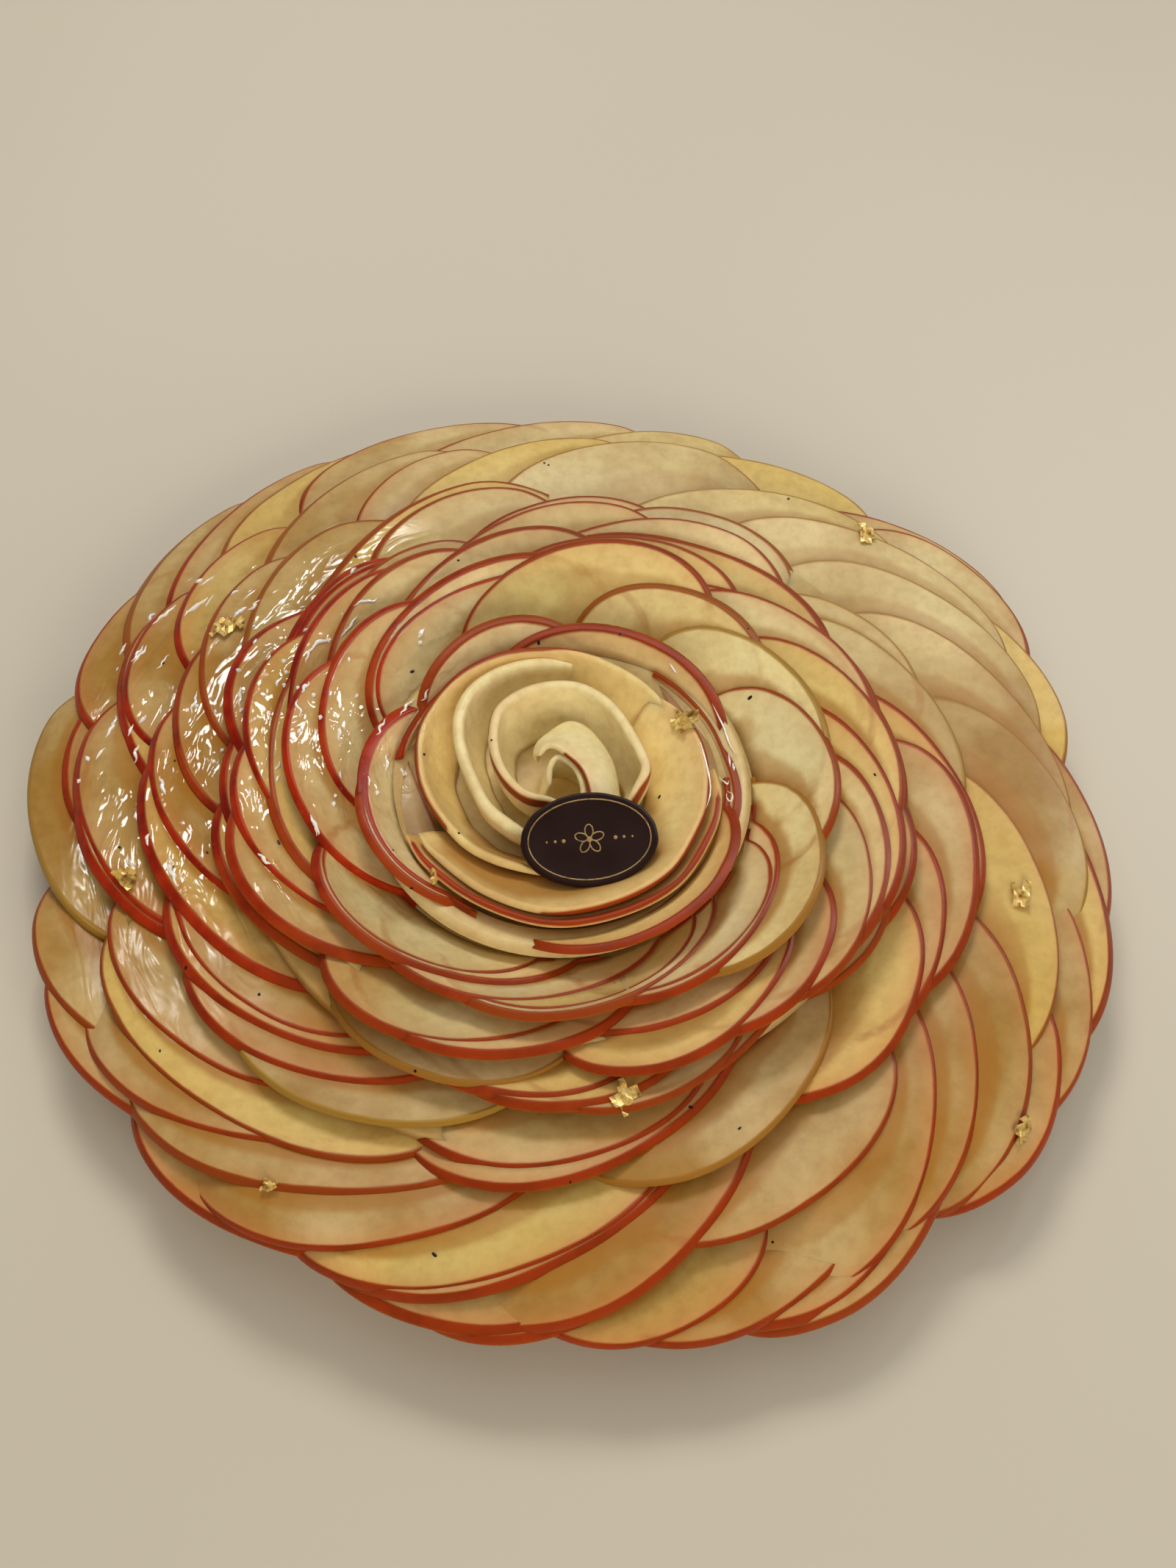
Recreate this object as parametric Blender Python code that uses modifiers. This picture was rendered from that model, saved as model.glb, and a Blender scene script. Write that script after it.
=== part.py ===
"""Apple tart whose slices are laid as an open rose, with a curled bud and an oval plaque."""

import math
import random

import bmesh
import bpy
from mathutils import Matrix

MM = 0.001
SEED = 7  # for the crumpling of the gold leaf only

# Crust: a low straight-sided tart shell under the rose
CRUST_RADIUS = 86.0 * MM
CRUST_HEIGHT = 12.0 * MM
CRUST_EDGE = 2.0 * MM
CRUST_TURN_STEPS = 32

# Apple slices: half-moons cut from apples about 72 mm tall
SLICE_DEPTH = 26.0 * MM
SLICE_THICKNESS = 2.0 * MM
BOWL_LEVEL = 7
BOWL_THINNING = 0.7
SLICE_ROUNDNESS = 2.25
SLICE_SEGMENTS = 5
SLICE_END_ANGLE = math.radians(14)

# Rings from the rim of the tart inwards: each is a shallow dish of overlapping slices.
# tip and height place the ring's outer edge, slope is how steeply it rises outwards, climb is
# how many mm a slice rises a radian so that it lies over its neighbour, wrap bends the slices
# round the axis, band is how far in the ring reaches, and centre is where its axis stands.
RINGS = [
    dict(tip=99.0, height=18.5, slope=5, climb=4.4, wrap=0.0, band=19.0, centre=(0, 0)),
    dict(tip=87.5, height=24.5, slope=8, climb=4.0, wrap=0.1, band=18.5, centre=(0, 0)),
    dict(tip=75.0, height=29.6, slope=14, climb=3.7, wrap=0.2, band=17.5, centre=(0, 0)),
    dict(tip=63.0, height=34.0, slope=25, climb=2.8, wrap=0.35, band=15.2, centre=(0, 0)),
    dict(tip=56.2, height=37.9, slope=28, climb=2.1, wrap=0.5, band=11.4, centre=(0, 0)),
    dict(tip=47.1, height=39.8, slope=38, climb=1.4, wrap=0.7, band=14.5, centre=(0, 0)),
    dict(tip=35.4, height=41.7, slope=48, climb=1.0, wrap=0.95, band=7.2, centre=(-0.4, -2.1)),
    dict(tip=27.0, height=40.0, slope=68, climb=0.5, wrap=1.0, band=9.5, centre=(-0.3, -2.1)),
]

# How the slices of each ring lie, in the order in which they overlap: bearing in degrees,
# distance of the peel's middle from the axis in mm, twist in degrees (which tucks one end in),
# and half the length in mm
PLACES = [
    [
        (304.5, 99.5, 24, 27), (294.4, 99.7, 15, 30), (282.7, 98.5, 15, 25), (269.5, 97, 17, 26),
        (256.2, 98, -4, 29), (237.1, 95.9, 11, 34), (216, 95.3, 20, 33), (205.2, 94.5, 26, 29),
        (180.9, 100, 21, 35), (173.7, 95.9, 18, 25), (153.9, 105.5, 7, 25), (144.1, 105.8, 19, 31),
        (135.1, 103.8, 18, 35), (124.4, 103.4, 12, 32), (108.5, 105.7, 3, 31), (99.1, 99.9, 15, 34),
        (85.4, 96.8, 26, 29), (68.6, 97.3, 16, 33), (47.7, 99.9, 27, 32), (37.5, 104.9, 11, 26),
        (29.9, 98.1, 20, 31), (4.8, 99.3, 19, 32), (353.7, 100.6, 21, 32), (343.2, 100.3, 24, 30),
        (330.2, 102.5, 25, 26), (310.3, 99.4, 25, 32),
    ],
    [
        (185.2, 88.6, 26, 34), (168, 86.2, 36, 33), (158.8, 93.5, 22, 25), (145, 93.1, 20, 25),
        (125.3, 92.4, 23, 34), (116.6, 87.9, 36, 25), (103.3, 88.4, 25, 34), (87.5, 91, 26, 32),
        (65.2, 86.6, 26, 36), (46.9, 92.3, 25, 37), (35.7, 91.1, 26, 35), (19.5, 91.6, 22, 37),
        (9, 92, 34, 32), (353, 89.3, 28, 36), (334.5, 93.2, 40, 34), (317.4, 89.6, 40, 37),
        (299.2, 88.7, 6, 32), (285.6, 87.3, 36, 36), (271.5, 87.3, 29, 39), (266.4, 90, 25, 38),
        (252.6, 88.6, 31, 37), (241.8, 86.1, 26, 41), (232, 84, 31, 41), (224.4, 86.1, 13, 41),
        (214.9, 83, 18, 33), (190.1, 86, 30, 31),
    ],
    [
        (67.8, 74.2, 8, 25), (37, 71.7, 18, 26), (23.7, 72.9, 15, 33), (8.5, 72.2, 23, 35),
        (349.2, 78.1, 7, 31), (338.6, 74.4, 13, 28), (326.5, 75.5, 14, 27), (303.8, 72.9, 21, 32),
        (282.1, 70.5, 22, 35), (274.5, 71.3, 13, 31), (242.8, 72.6, 18, 32), (232, 70.8, 25, 32),
        (221.1, 70.5, 22, 33), (216.8, 70.5, 19, 30), (198.9, 72.4, 22, 37), (188.1, 71.1, 31, 32),
        (168.5, 75.6, 24, 28), (155.7, 77.9, 29, 30), (146.5, 74.5, 26, 34), (129.7, 70.5, 22, 42),
        (113.7, 75.3, 19, 25), (96, 70.5, 19, 27), (76, 71.2, 15, 30),
    ],
    [
        (145.4, 62.4, 17, 28), (131.9, 61.8, 18, 26), (102.2, 63.7, 23, 30), (83.1, 62.4, 25, 33),
        (64.8, 62.7, 6, 37), (41.2, 60, 13, 33), (11.5, 62.9, 6, 30), (1.1, 61.5, 26, 27),
        (345, 61.3, 23, 25), (303.4, 60.9, 17, 31), (286.7, 65.4, 8, 25), (271.3, 64.5, 1, 26),
        (260.4, 62.8, -4, 27), (246, 62.8, 0, 27), (212.3, 58.5, 25, 31), (191.7, 59.8, 21, 28),
        (170.5, 62.1, 40, 25), (157, 59.3, 21, 37),
    ],
    [
        (321.6, 60.1, 20, 25), (312.8, 53.3, 16, 34), (307.8, 58.3, 33, 36), (294.8, 53.8, -4, 29),
        (263, 56.5, 18, 31), (257.3, 55.2, 25, 30), (222, 53.3, 38, 30), (206.2, 53.2, 32, 31),
        (186.2, 53.1, 33, 34), (174.9, 54.9, 8, 38), (159.7, 55.1, 20, 36), (140.7, 55.3, 22, 29),
        (121.3, 53.2, 23, 33), (83, 56.3, 12, 31), (53.4, 53.9, 18, 39), (39.6, 58, 16, 33),
        (20.3, 59, 19, 34), (4.4, 58, 26, 35), (351.3, 59.6, 24, 30), (342.7, 58.5, 27, 30),
    ],
    [
        (274.8, 44.7, 23, 35), (242.4, 46.8, 16, 35), (234.6, 47.1, 14, 30), (192, 47.5, 25, 33),
        (160.6, 47.8, 17, 31), (125, 48, 12, 36), (111.4, 46.7, 2, 38), (99.1, 48.5, 25, 33),
        (61.6, 47.4, 12, 26), (30.5, 48.1, 12, 32), (13.7, 47.8, 22, 28), (341.8, 49.6, 27, 29),
        (319.6, 46.9, 17, 33), (311.6, 47.5, 10, 30), (294, 45.8, 23, 36), (287.6, 46, 22, 32),
    ],
    [
        (104.5, 31.6, -4, 34), (63.5, 34.8, 0, 39), (5.1, 31.8, 8, 31), (309.7, 37, 4, 36),
        (206.7, 36.5, 10, 26), (182.6, 36.1, -4, 34), (127.2, 35.1, 16, 27),
    ],
    [
        (20, 27, 3, 38), (290, 27, 3, 38), (200, 27, 3, 38), (115, 27, 3, 38),
    ],
]
CORE_SETBACK = 7.0 * MM
CORE_TOP_DROP = 1.0 * MM
CORE_BASE_DROP = 3.8 * MM
CORE_FOOT_LEAN = 0.8
SHOULDER_LIFT = 1.7 * MM
SHOULDER_WIDTH = 3.5 * MM
INNER_SETBACK = 0.7 * MM
FLOOR_START = 12.3 * MM
FLOOR_THICKNESS = 1.8 * MM
GAP = 0.3 * MM
CORE_TURN_STEPS = 18

# Bud: slices curled round one another. Bearings in degrees, sizes in mm.
BUD = [
    dict(x=1.0, y=3.5, radius=18.6, closing=0.88, turn=(236, 76), top=39.6, lean=3.6, thick=1.5, dips=(2, 4)),
    dict(x=1.2, y=4.6, radius=13.4, closing=0.95, turn=(264, -52), top=41.6, lean=3.2, thick=1.5, dips=(0, 3)),
    dict(x=2.6, y=2.8, radius=7.6, closing=0.9, turn=(205, -80), top=42.8, lean=2.4, thick=1.4, dips=(2, 2)),
    dict(x=0.0, y=-1.1, radius=2.4, closing=0.9, turn=(200, -80), top=40.6, lean=0.6, thick=1.2, dips=(1, 1)),
]
BUD_FLOOR = 29.6 * MM
BUD_SEGMENTS = 12
BUD_ROWS = 2
BUD_END_SHARE = 0.3

# Plaque: an oval of dark chocolate that leans from the bowl's wall onto the bud
PLAQUE_LENGTH = 24.5 * MM
PLAQUE_WIDTH = 17.0 * MM
PLAQUE_THICKNESS = 1.8 * MM
PLAQUE_CENTRE = (4.9 * MM, -17.0 * MM, 42.2 * MM)
PLAQUE_LEAN = math.radians(22)
PLAQUE_TURN = math.radians(5)
PLAQUE_SEGMENTS = 28
PLAQUE_EDGE = 0.4 * MM

# Gold leaf: six-sided scraps, stretched and crumpled by chance and a little sunk in the slice
FLAKE_SIZE = 5.6 * MM
FLAKE_TOP_SIZE = 4.3 * MM
FLAKE_THICKNESS = 1.2 * MM
FLAKE_STRETCH = (0.7, 1.2)
FLAKE_NARROWING = (0.5, 0.9)
FLAKE_CRUMPLE = 0.36 * MM
FLAKE_LIFT = 0.18 * MM
ABOVE_ALL = 0.1

# Where each scrap lies: ring number, distance from the middle and bearing
FLAKES = [
    (1, 82.5, 150),
    (1, 82.4, 190),
    (1, 84.5, 48),
    (1, 84.0, 348),
    (2, 70.5, 280),
    (0, 94.5, 236),
    (0, 97.0, 323),
]

COLOURS = {
    "crust": ((0.55, 0.33, 0.14, 1), 0.75, 0),
    "flesh": ((0.78, 0.61, 0.31, 1), 0.25, 0),
    "plaque": ((0.02, 0.008, 0.009, 1), 0.4, 0),
}


def clear_scene():
    for obj in list(bpy.data.objects):
        bpy.data.objects.remove(obj, do_unlink=True)


def new_collection(name):
    collection = bpy.data.collections.new(name)
    bpy.context.scene.collection.children.link(collection)
    return collection


def surface_material(name):
    colour, roughness, metallic = COLOURS[name]
    material = bpy.data.materials.new(name)
    material.use_nodes = True
    shader = material.node_tree.nodes["Principled BSDF"]
    shader.inputs["Base Color"].default_value = colour
    shader.inputs["Roughness"].default_value = roughness
    shader.inputs["Metallic"].default_value = metallic
    return material


def add_object(name, mesh, collection, material=None):
    obj = bpy.data.objects.new(name, mesh)
    collection.objects.link(obj)
    if material:
        obj.data.materials.append(material)
    return obj


def mesh_from(bm, name):
    mesh = bpy.data.meshes.new(name)
    bm.to_mesh(mesh)
    bm.free()
    return mesh


def evaluated_mesh(obj):
    """The object's mesh with its modifiers applied."""
    graph = bpy.context.evaluated_depsgraph_get()
    graph.update()
    return bpy.data.meshes.new_from_object(obj.evaluated_get(graph))


def freeze(obj):
    """Replace the object's mesh by its evaluated one and drop the modifiers."""
    mesh = evaluated_mesh(obj)
    obj.modifiers.clear()
    obj.data = mesh
    return obj


def turned(name, profile, steps, collection, material):
    """Solid of revolution of a closed half-outline, given top to bottom down its outer side."""
    bm = bmesh.new()
    points = [bm.verts.new((radius, 0, height)) for radius, height in profile]
    for first, second in zip(points, points[1:]):
        bm.edges.new((first, second))
    obj = add_object(name, mesh_from(bm, name), collection, material)
    screw = obj.modifiers.new("Screw", "SCREW")
    screw.steps = steps
    screw.render_steps = steps
    screw.use_merge_vertices = True
    screw.merge_threshold = 0.00001
    return obj


def slice_edge(half, share):
    """Point of a half-moon's peel side: along the slice, and inwards from its middle."""
    angle = SLICE_END_ANGLE + share * (math.pi - 2 * SLICE_END_ANGLE)
    power = 2 / SLICE_ROUNDNESS
    along = math.copysign(abs(math.cos(angle)) ** power, math.cos(angle)) * half
    inward = SLICE_DEPTH * (1 - math.sin(angle) ** power)
    return along, inward


def ring_point(ring, distance, bearing, lift):
    """Point of a ring's cone at a distance from the axis, lifted along the surface normal."""
    slope = math.radians(ring["slope"])
    height = ring["height"] * MM - (ring["tip"] * MM - distance) * math.tan(slope)
    distance -= lift * math.sin(slope)
    return (
        ring["centre"][0] * MM + distance * math.cos(bearing),
        ring["centre"][1] * MM + distance * math.sin(bearing),
        height + lift * math.cos(slope),
    )


def place_on_ring(ring, tip, along, inward):
    """Distance from the axis, and turn from the slice's own bearing, of a point of a slice."""
    out = tip - inward * math.cos(math.radians(ring["slope"]))
    flat_distance = math.hypot(out, along)
    flat_turn = math.atan2(along, out)
    bend = ring["wrap"]
    return (
        flat_distance * (1 - bend) + out * bend,
        flat_turn * (1 - bend) + along / tip * bend,
    )


def thinning(ring):
    """The slices that line the bowl are thinner than those of the rings."""
    return BOWL_THINNING if ring is RINGS[BOWL_LEVEL] else 1


def slice_object(ring, place, collection):
    """One slice: a strip from its peel edge in to the ring's inner edge, with a thickness."""
    bearing, tip, twist, half = place
    bearing = math.radians(bearing)
    twist = math.radians(twist)
    tip *= MM
    inner = ring["band"] * MM * math.cos(math.radians(ring["slope"]))
    inner = ring["tip"] * MM - inner
    bm = bmesh.new()
    bmesh.ops.create_grid(bm, x_segments=SLICE_SEGMENTS, y_segments=1, size=1)
    for vert in bm.verts:
        along, inward = slice_edge(half * MM, (1 - vert.co.x) / 2)
        turned_along = along * math.cos(twist) - inward * math.sin(twist)
        turned_in = along * math.sin(twist) + inward * math.cos(twist)
        distance, turn = place_on_ring(ring, tip, turned_along, turned_in)
        distance = max(distance, inner + 2 * INNER_SETBACK)
        if vert.co.y < 0:
            distance = inner + INNER_SETBACK
        lift = ring["climb"] * MM * turn
        vert.co = ring_point(ring, distance, bearing + turn, lift)
    bmesh.ops.recalc_face_normals(bm, faces=bm.faces)
    if bm.faces[:][0].normal.z < 0:
        bmesh.ops.reverse_faces(bm, faces=bm.faces)
    bmesh.ops.triangulate(bm, faces=bm.faces)
    obj = add_object("slice", mesh_from(bm, "slice"), collection)
    solidify = obj.modifiers.new("Solidify", "SOLIDIFY")
    solidify.thickness = SLICE_THICKNESS * thinning(ring)
    solidify.offset = -1
    return freeze(obj)


def ring_core(ring, level, name, collection, material):
    """The dish that a ring's slices lie on: a sloping band and a thin floor inside it."""
    slope = math.radians(ring["slope"])

    def under(inward, drop):
        return (
            ring["tip"] * MM - inward * math.cos(slope) + drop * math.sin(slope),
            ring["height"] * MM - inward * math.sin(slope) - drop * math.cos(slope),
        )

    floor = FLOOR_START + level * (FLOOR_THICKNESS + GAP)
    base_drop = CORE_BASE_DROP * thinning(ring)
    foot = under(ring["band"] * MM, base_drop)
    floor_radius = foot[0] - (foot[1] - floor) * CORE_FOOT_LEAN
    profile = [
        (0, floor + FLOOR_THICKNESS),
        (floor_radius - GAP, floor + FLOOR_THICKNESS),
        under(ring["band"] * MM, -SHOULDER_LIFT),
        under(ring["band"] * MM - SHOULDER_WIDTH, CORE_TOP_DROP),
        under(CORE_SETBACK, CORE_TOP_DROP),
        under(CORE_SETBACK, base_drop),
        foot,
        (floor_radius, floor),
        (0, floor),
    ]
    core = freeze(turned(name, profile, CORE_TURN_STEPS, collection, material))
    x, y = ring["centre"]
    core.data.transform(Matrix.Translation((x * MM, y * MM, 0)))
    return core


def join(obj, pieces):
    """Unite the object with every object of a collection, then remove that collection."""
    union = obj.modifiers.new("Union", "BOOLEAN")
    union.operation = "UNION"
    union.solver = "MANIFOLD"
    union.operand_type = "COLLECTION"
    union.collection = pieces
    freeze(obj)
    for piece in list(pieces.objects):
        bpy.data.objects.remove(piece, do_unlink=True)
    bpy.data.collections.remove(pieces)
    return obj


def gold_flake(surface, distance, bearing, chance, collection):
    """A crumpled leaf of gold, half sunk in the surface below it."""
    x = distance * math.cos(bearing)
    y = distance * math.sin(bearing)
    _, place, normal, _ = surface.ray_cast((x, y, ABOVE_ALL), (0, 0, -1))
    bm = bmesh.new()
    bmesh.ops.create_cone(
        bm,
        segments=6,
        radius1=FLAKE_SIZE / 2,
        radius2=FLAKE_TOP_SIZE / 2,
        depth=FLAKE_THICKNESS,
        cap_ends=True,
        cap_tris=True,
    )
    for vert in bm.verts:
        vert.co.x *= chance.uniform(*FLAKE_STRETCH)
        vert.co.y *= chance.uniform(*FLAKE_NARROWING)
        vert.co.z += chance.uniform(0, FLAKE_CRUMPLE)
    flake = add_object("flake", mesh_from(bm, "flake"), collection)
    flake.rotation_mode = "QUATERNION"
    flake.rotation_quaternion = normal.to_track_quat("Z", "Y")
    flake.location = place + normal * FLAKE_LIFT


def slice_ring(level, chance, collection, material):
    """A ring of overlapping slices on its dish, with the gold leaf that lies on it."""
    ring = RINGS[level]
    obj = ring_core(ring, level, f"slice_ring_{level + 1}", collection, material)
    pieces = new_collection("slices")
    for place in PLACES[level]:
        slice_object(ring, place, pieces)
    join(obj, pieces)
    flakes = new_collection("flakes")
    for flake_level, distance, bearing in FLAKES:
        if flake_level == level:
            gold_flake(obj, distance * MM, math.radians(bearing), chance, flakes)
    if flakes.objects:
        join(obj, flakes)


def curled_slice(number, collection, material):
    """A slice of the bud, curled round an upright axis and leaning outwards."""
    shape = BUD[number]
    start, end = shape["turn"]
    name = f"bud_slice_{number + 1}"
    bm = bmesh.new()
    bmesh.ops.create_grid(bm, x_segments=BUD_SEGMENTS, y_segments=BUD_ROWS, size=1)
    for vert in bm.verts:
        along = (vert.co.x + 1) / 2
        up = (vert.co.y + 1) / 2
        bearing = math.radians(start + (end - start) * along)
        dip = shape["dips"][0] * max(0, 1 - along / BUD_END_SHARE) ** 2
        dip += shape["dips"][1] * max(0, 1 - (1 - along) / BUD_END_SHARE) ** 2
        top = (shape["top"] - dip) * MM
        radius = shape["radius"] * (1 + (shape["closing"] - 1) * along) - shape["lean"] * (1 - up)
        vert.co.x = (shape["x"] + radius * math.cos(bearing)) * MM
        vert.co.y = (shape["y"] + radius * math.sin(bearing)) * MM
        vert.co.z = BUD_FLOOR + (top - BUD_FLOOR) * up
    bmesh.ops.triangulate(bm, faces=bm.faces)
    obj = add_object(name, mesh_from(bm, name), collection, material)
    solidify = obj.modifiers.new("Solidify", "SOLIDIFY")
    solidify.thickness = shape["thick"] * MM
    solidify.offset = 0
    return obj


def plaque(collection, material):
    bm = bmesh.new()
    bmesh.ops.create_cone(
        bm,
        segments=PLAQUE_SEGMENTS,
        radius1=0.5,
        radius2=0.5,
        depth=1,
        cap_ends=True,
    )
    for vert in bm.verts:
        vert.co.x *= PLAQUE_LENGTH
        vert.co.y *= PLAQUE_WIDTH
        vert.co.z *= PLAQUE_THICKNESS
    obj = add_object("plaque", mesh_from(bm, "plaque"), collection, material)
    bevel = obj.modifiers.new("Bevel", "BEVEL")
    bevel.width = PLAQUE_EDGE
    bevel.segments = 1
    obj.rotation_euler = (PLAQUE_LEAN, 0, PLAQUE_TURN)
    obj.location = PLAQUE_CENTRE
    return obj


def crust(collection, material):
    profile = [
        (0, CRUST_HEIGHT),
        (CRUST_RADIUS - CRUST_EDGE, CRUST_HEIGHT),
        (CRUST_RADIUS, CRUST_HEIGHT - CRUST_EDGE),
        (CRUST_RADIUS, CRUST_EDGE / 2),
        (CRUST_RADIUS - CRUST_EDGE / 2, 0),
        (0, 0),
    ]
    return turned("crust", profile, CRUST_TURN_STEPS, collection, material)


def build():
    clear_scene()
    chance = random.Random(SEED)
    tart = new_collection("apple_tart")
    flesh = surface_material("flesh")
    crust(tart, surface_material("crust"))
    for level in range(len(RINGS)):
        slice_ring(level, chance, tart, flesh)
    for number in range(len(BUD)):
        curled_slice(number, tart, flesh)
    plaque(tart, surface_material("plaque"))


build()
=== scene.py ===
import math
import random

import bmesh
import bpy
from mathutils import Matrix, Vector, noise


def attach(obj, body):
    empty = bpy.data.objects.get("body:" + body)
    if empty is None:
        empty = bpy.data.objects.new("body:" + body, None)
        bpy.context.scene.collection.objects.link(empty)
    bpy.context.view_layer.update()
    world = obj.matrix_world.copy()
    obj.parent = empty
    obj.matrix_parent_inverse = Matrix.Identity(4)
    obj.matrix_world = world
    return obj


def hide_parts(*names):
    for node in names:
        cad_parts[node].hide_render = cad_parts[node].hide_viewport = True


# Looks of the apple tart: slices laid as an open rose round a curled bud, with an oval plaque.
# Every size is in millimetres, and mm turns it into metres.
mm = 0.001

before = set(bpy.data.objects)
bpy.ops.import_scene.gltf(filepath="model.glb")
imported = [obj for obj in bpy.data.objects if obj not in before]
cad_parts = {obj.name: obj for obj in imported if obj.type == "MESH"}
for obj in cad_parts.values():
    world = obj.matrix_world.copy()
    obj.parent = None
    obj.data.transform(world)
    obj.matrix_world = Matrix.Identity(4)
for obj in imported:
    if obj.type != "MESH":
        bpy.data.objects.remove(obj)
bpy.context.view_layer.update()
print("frame loaded")


# Nodes written as plain sums

class Wire:
    # A socket that Python's own operators work on: each adds a Math node to its tree
    def __init__(self, graph, socket):
        self.graph = graph
        self.socket = socket

    def out(self, key):
        return Wire(self.graph, self.socket.node.outputs[key])

    def maths(self, operation, *others):
        return self.graph.node("ShaderNodeMath", {"operation": operation}, [self, *others])

    def __add__(self, other):
        return self.maths("ADD", other)

    def __radd__(self, other):
        return self.maths("ADD", other)

    def __sub__(self, other):
        return self.maths("SUBTRACT", other)

    def __rsub__(self, other):
        return self.graph.node("ShaderNodeMath", {"operation": "SUBTRACT"}, [other, self])

    def __mul__(self, other):
        return self.maths("MULTIPLY", other)

    def __rmul__(self, other):
        return self.maths("MULTIPLY", other)

    def __truediv__(self, other):
        return self.maths("DIVIDE", other)

    def __pow__(self, other):
        return self.maths("POWER", other)

    def __neg__(self):
        return self.maths("MULTIPLY", -1)

    def cosine(self):
        return self.maths("COSINE")

    def sine(self):
        return self.maths("SINE")

    def clamped(self):
        return self.maths("MINIMUM", 1).maths("MAXIMUM", 0)

    def ramped(self, start, end):
        # 0 at start, 1 at end, smooth in between
        return self.graph.node("ShaderNodeMapRange", {"interpolation_type": "SMOOTHSTEP"},
                               {"Value": self, "From Min": start, "From Max": end})


class Graph:
    def __init__(self, tree):
        self.tree = tree

    def node(self, kind, settings=None, inputs=None):
        made = self.tree.nodes.new(kind)
        for name, value in (settings or {}).items():
            setattr(made, name, value)
        pairs = inputs.items() if isinstance(inputs, dict) else enumerate(inputs or [])
        for key, value in pairs:
            if isinstance(value, Wire):
                self.tree.links.new(value.socket, made.inputs[key])
            else:
                made.inputs[key].default_value = value
        return Wire(self, made.outputs[0]) if made.outputs else None

    def attribute(self, name):
        return self.node("ShaderNodeAttribute", {"attribute_name": name}).out("Fac")

    def mixed(self, factor, first, second, blend="MIX"):
        # a colour is a wire or three screen values
        first, second = (paint(value) if isinstance(value, tuple) else value for value in (first, second))
        return self.node("ShaderNodeMix", {"data_type": "RGBA", "blend_type": blend},
                         {0: factor, 6: first, 7: second}).out(2)

    def noise(self, place, scale, detail=2, roughness=0.5, **more):
        sizes = {"Scale": scale, "Detail": detail, "Roughness": roughness}
        return self.node("ShaderNodeTexNoise", None, {"Vector": place, **sizes, **more})

    def vector(self, operation, *values):
        return self.node("ShaderNodeVectorMath", {"operation": operation}, list(values))

    def xyz(self, x, y, z):
        return self.node("ShaderNodeCombineXYZ", None, [x, y, z])

    def polar(self, distance, bearing, height):
        return self.xyz(distance * bearing.cosine(), distance * bearing.sine(), height)

    def bump(self, height, strength, depth):
        sizes = {"Strength": strength, "Distance": depth * mm, "Height": height}
        return self.node("ShaderNodeBump", None, sizes)


def paint(colour):
    # screen values from 0 to 255, as the linear colour that a shader takes
    shares = [value / 255 for value in colour]
    return (*(share / 12.92 if share <= 0.04045 else ((share + 0.055) / 1.055) ** 2.4 for share in shares), 1)


def newMaterial(name, constants):
    # constants go on the shader's own sockets
    material = bpy.data.materials.new(name)
    material.use_nodes = True
    shader = material.node_tree.nodes["Principled BSDF"]
    for socket, value in constants.items():
        shader.inputs[socket].default_value = value
    graph = Graph(material.node_tree)

    def plug(socket, wire):
        material.node_tree.links.new(wire.socket, shader.inputs[socket])

    place = graph.node("ShaderNodeTexCoord").out("Object")
    return material, graph, plug, place


def newObject(name, mesh):
    obj = bpy.data.objects.new(name, mesh)
    bpy.context.scene.collection.objects.link(obj)
    return obj


def solidObject(name, bm, material):
    # a finished shape as an object, smooth and with its faces outwards
    bmesh.ops.recalc_face_normals(bm, faces=bm.faces)
    mesh = bpy.data.meshes.new(name)
    bm.to_mesh(mesh)
    bm.free()
    mesh.materials.append(material)
    mesh.shade_smooth()
    return newObject(name, mesh)


def marked(piece, marks):
    # the same value of each attribute on every point of the piece
    for name, value in marks.items():
        spread = piece.data.attributes.new(name, "FLOAT", "POINT")
        spread.data.foreach_set("value", [value] * len(piece.data.vertices))
    return piece


def polar(distance, turn):
    # x and y of a place round the axis
    return distance * math.cos(turn), distance * math.sin(turn)


def newTree(name, sizes):
    # a Geometry Nodes tree with a geometry input, the named sizes, and a geometry output
    tree = bpy.data.node_groups.new(name, "GeometryNodeTree")
    tree.interface.new_socket("Geometry", in_out="INPUT", socket_type="NodeSocketGeometry")
    for label, kind in sizes.items():
        tree.interface.new_socket(label, in_out="INPUT", socket_type="NodeSocket" + kind)
    tree.interface.new_socket("Geometry", in_out="OUTPUT", socket_type="NodeSocketGeometry")
    graph = Graph(tree)
    inlet = tree.nodes.new("NodeGroupInput")
    return graph, {socket.name: Wire(graph, socket) for socket in inlet.outputs if socket.name}


def closeTree(graph, geometry, material):
    # every tree ends in real meshes with their material on them
    made = graph.node("GeometryNodeRealizeInstances", None, {"Geometry": geometry})
    made = graph.node("GeometryNodeSetMaterial", None, {"Geometry": made, "Material": material})
    graph.node("NodeGroupOutput", None, {"Geometry": made})
    return graph.tree


def stored(graph, geometry, name, value):
    return graph.node("GeometryNodeStoreNamedAttribute", {"data_type": "FLOAT", "domain": "POINT"},
                      {"Geometry": geometry, "Name": name, "Value": value})


def named(graph, name):
    return graph.node("GeometryNodeInputNamedAttribute", {"data_type": "FLOAT"}, {"Name": name})


def grow(obj, tree, sizes):
    # runs the tree on the object and leaves its result as a plain mesh
    modifier = obj.modifiers.new("Grow", "NODES")
    modifier.node_group = tree
    for item in tree.interface.items_tree:
        if item.in_out == "INPUT" and item.name in sizes:
            modifier[item.identifier] = sizes[item.name]
    settle(obj)


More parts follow.
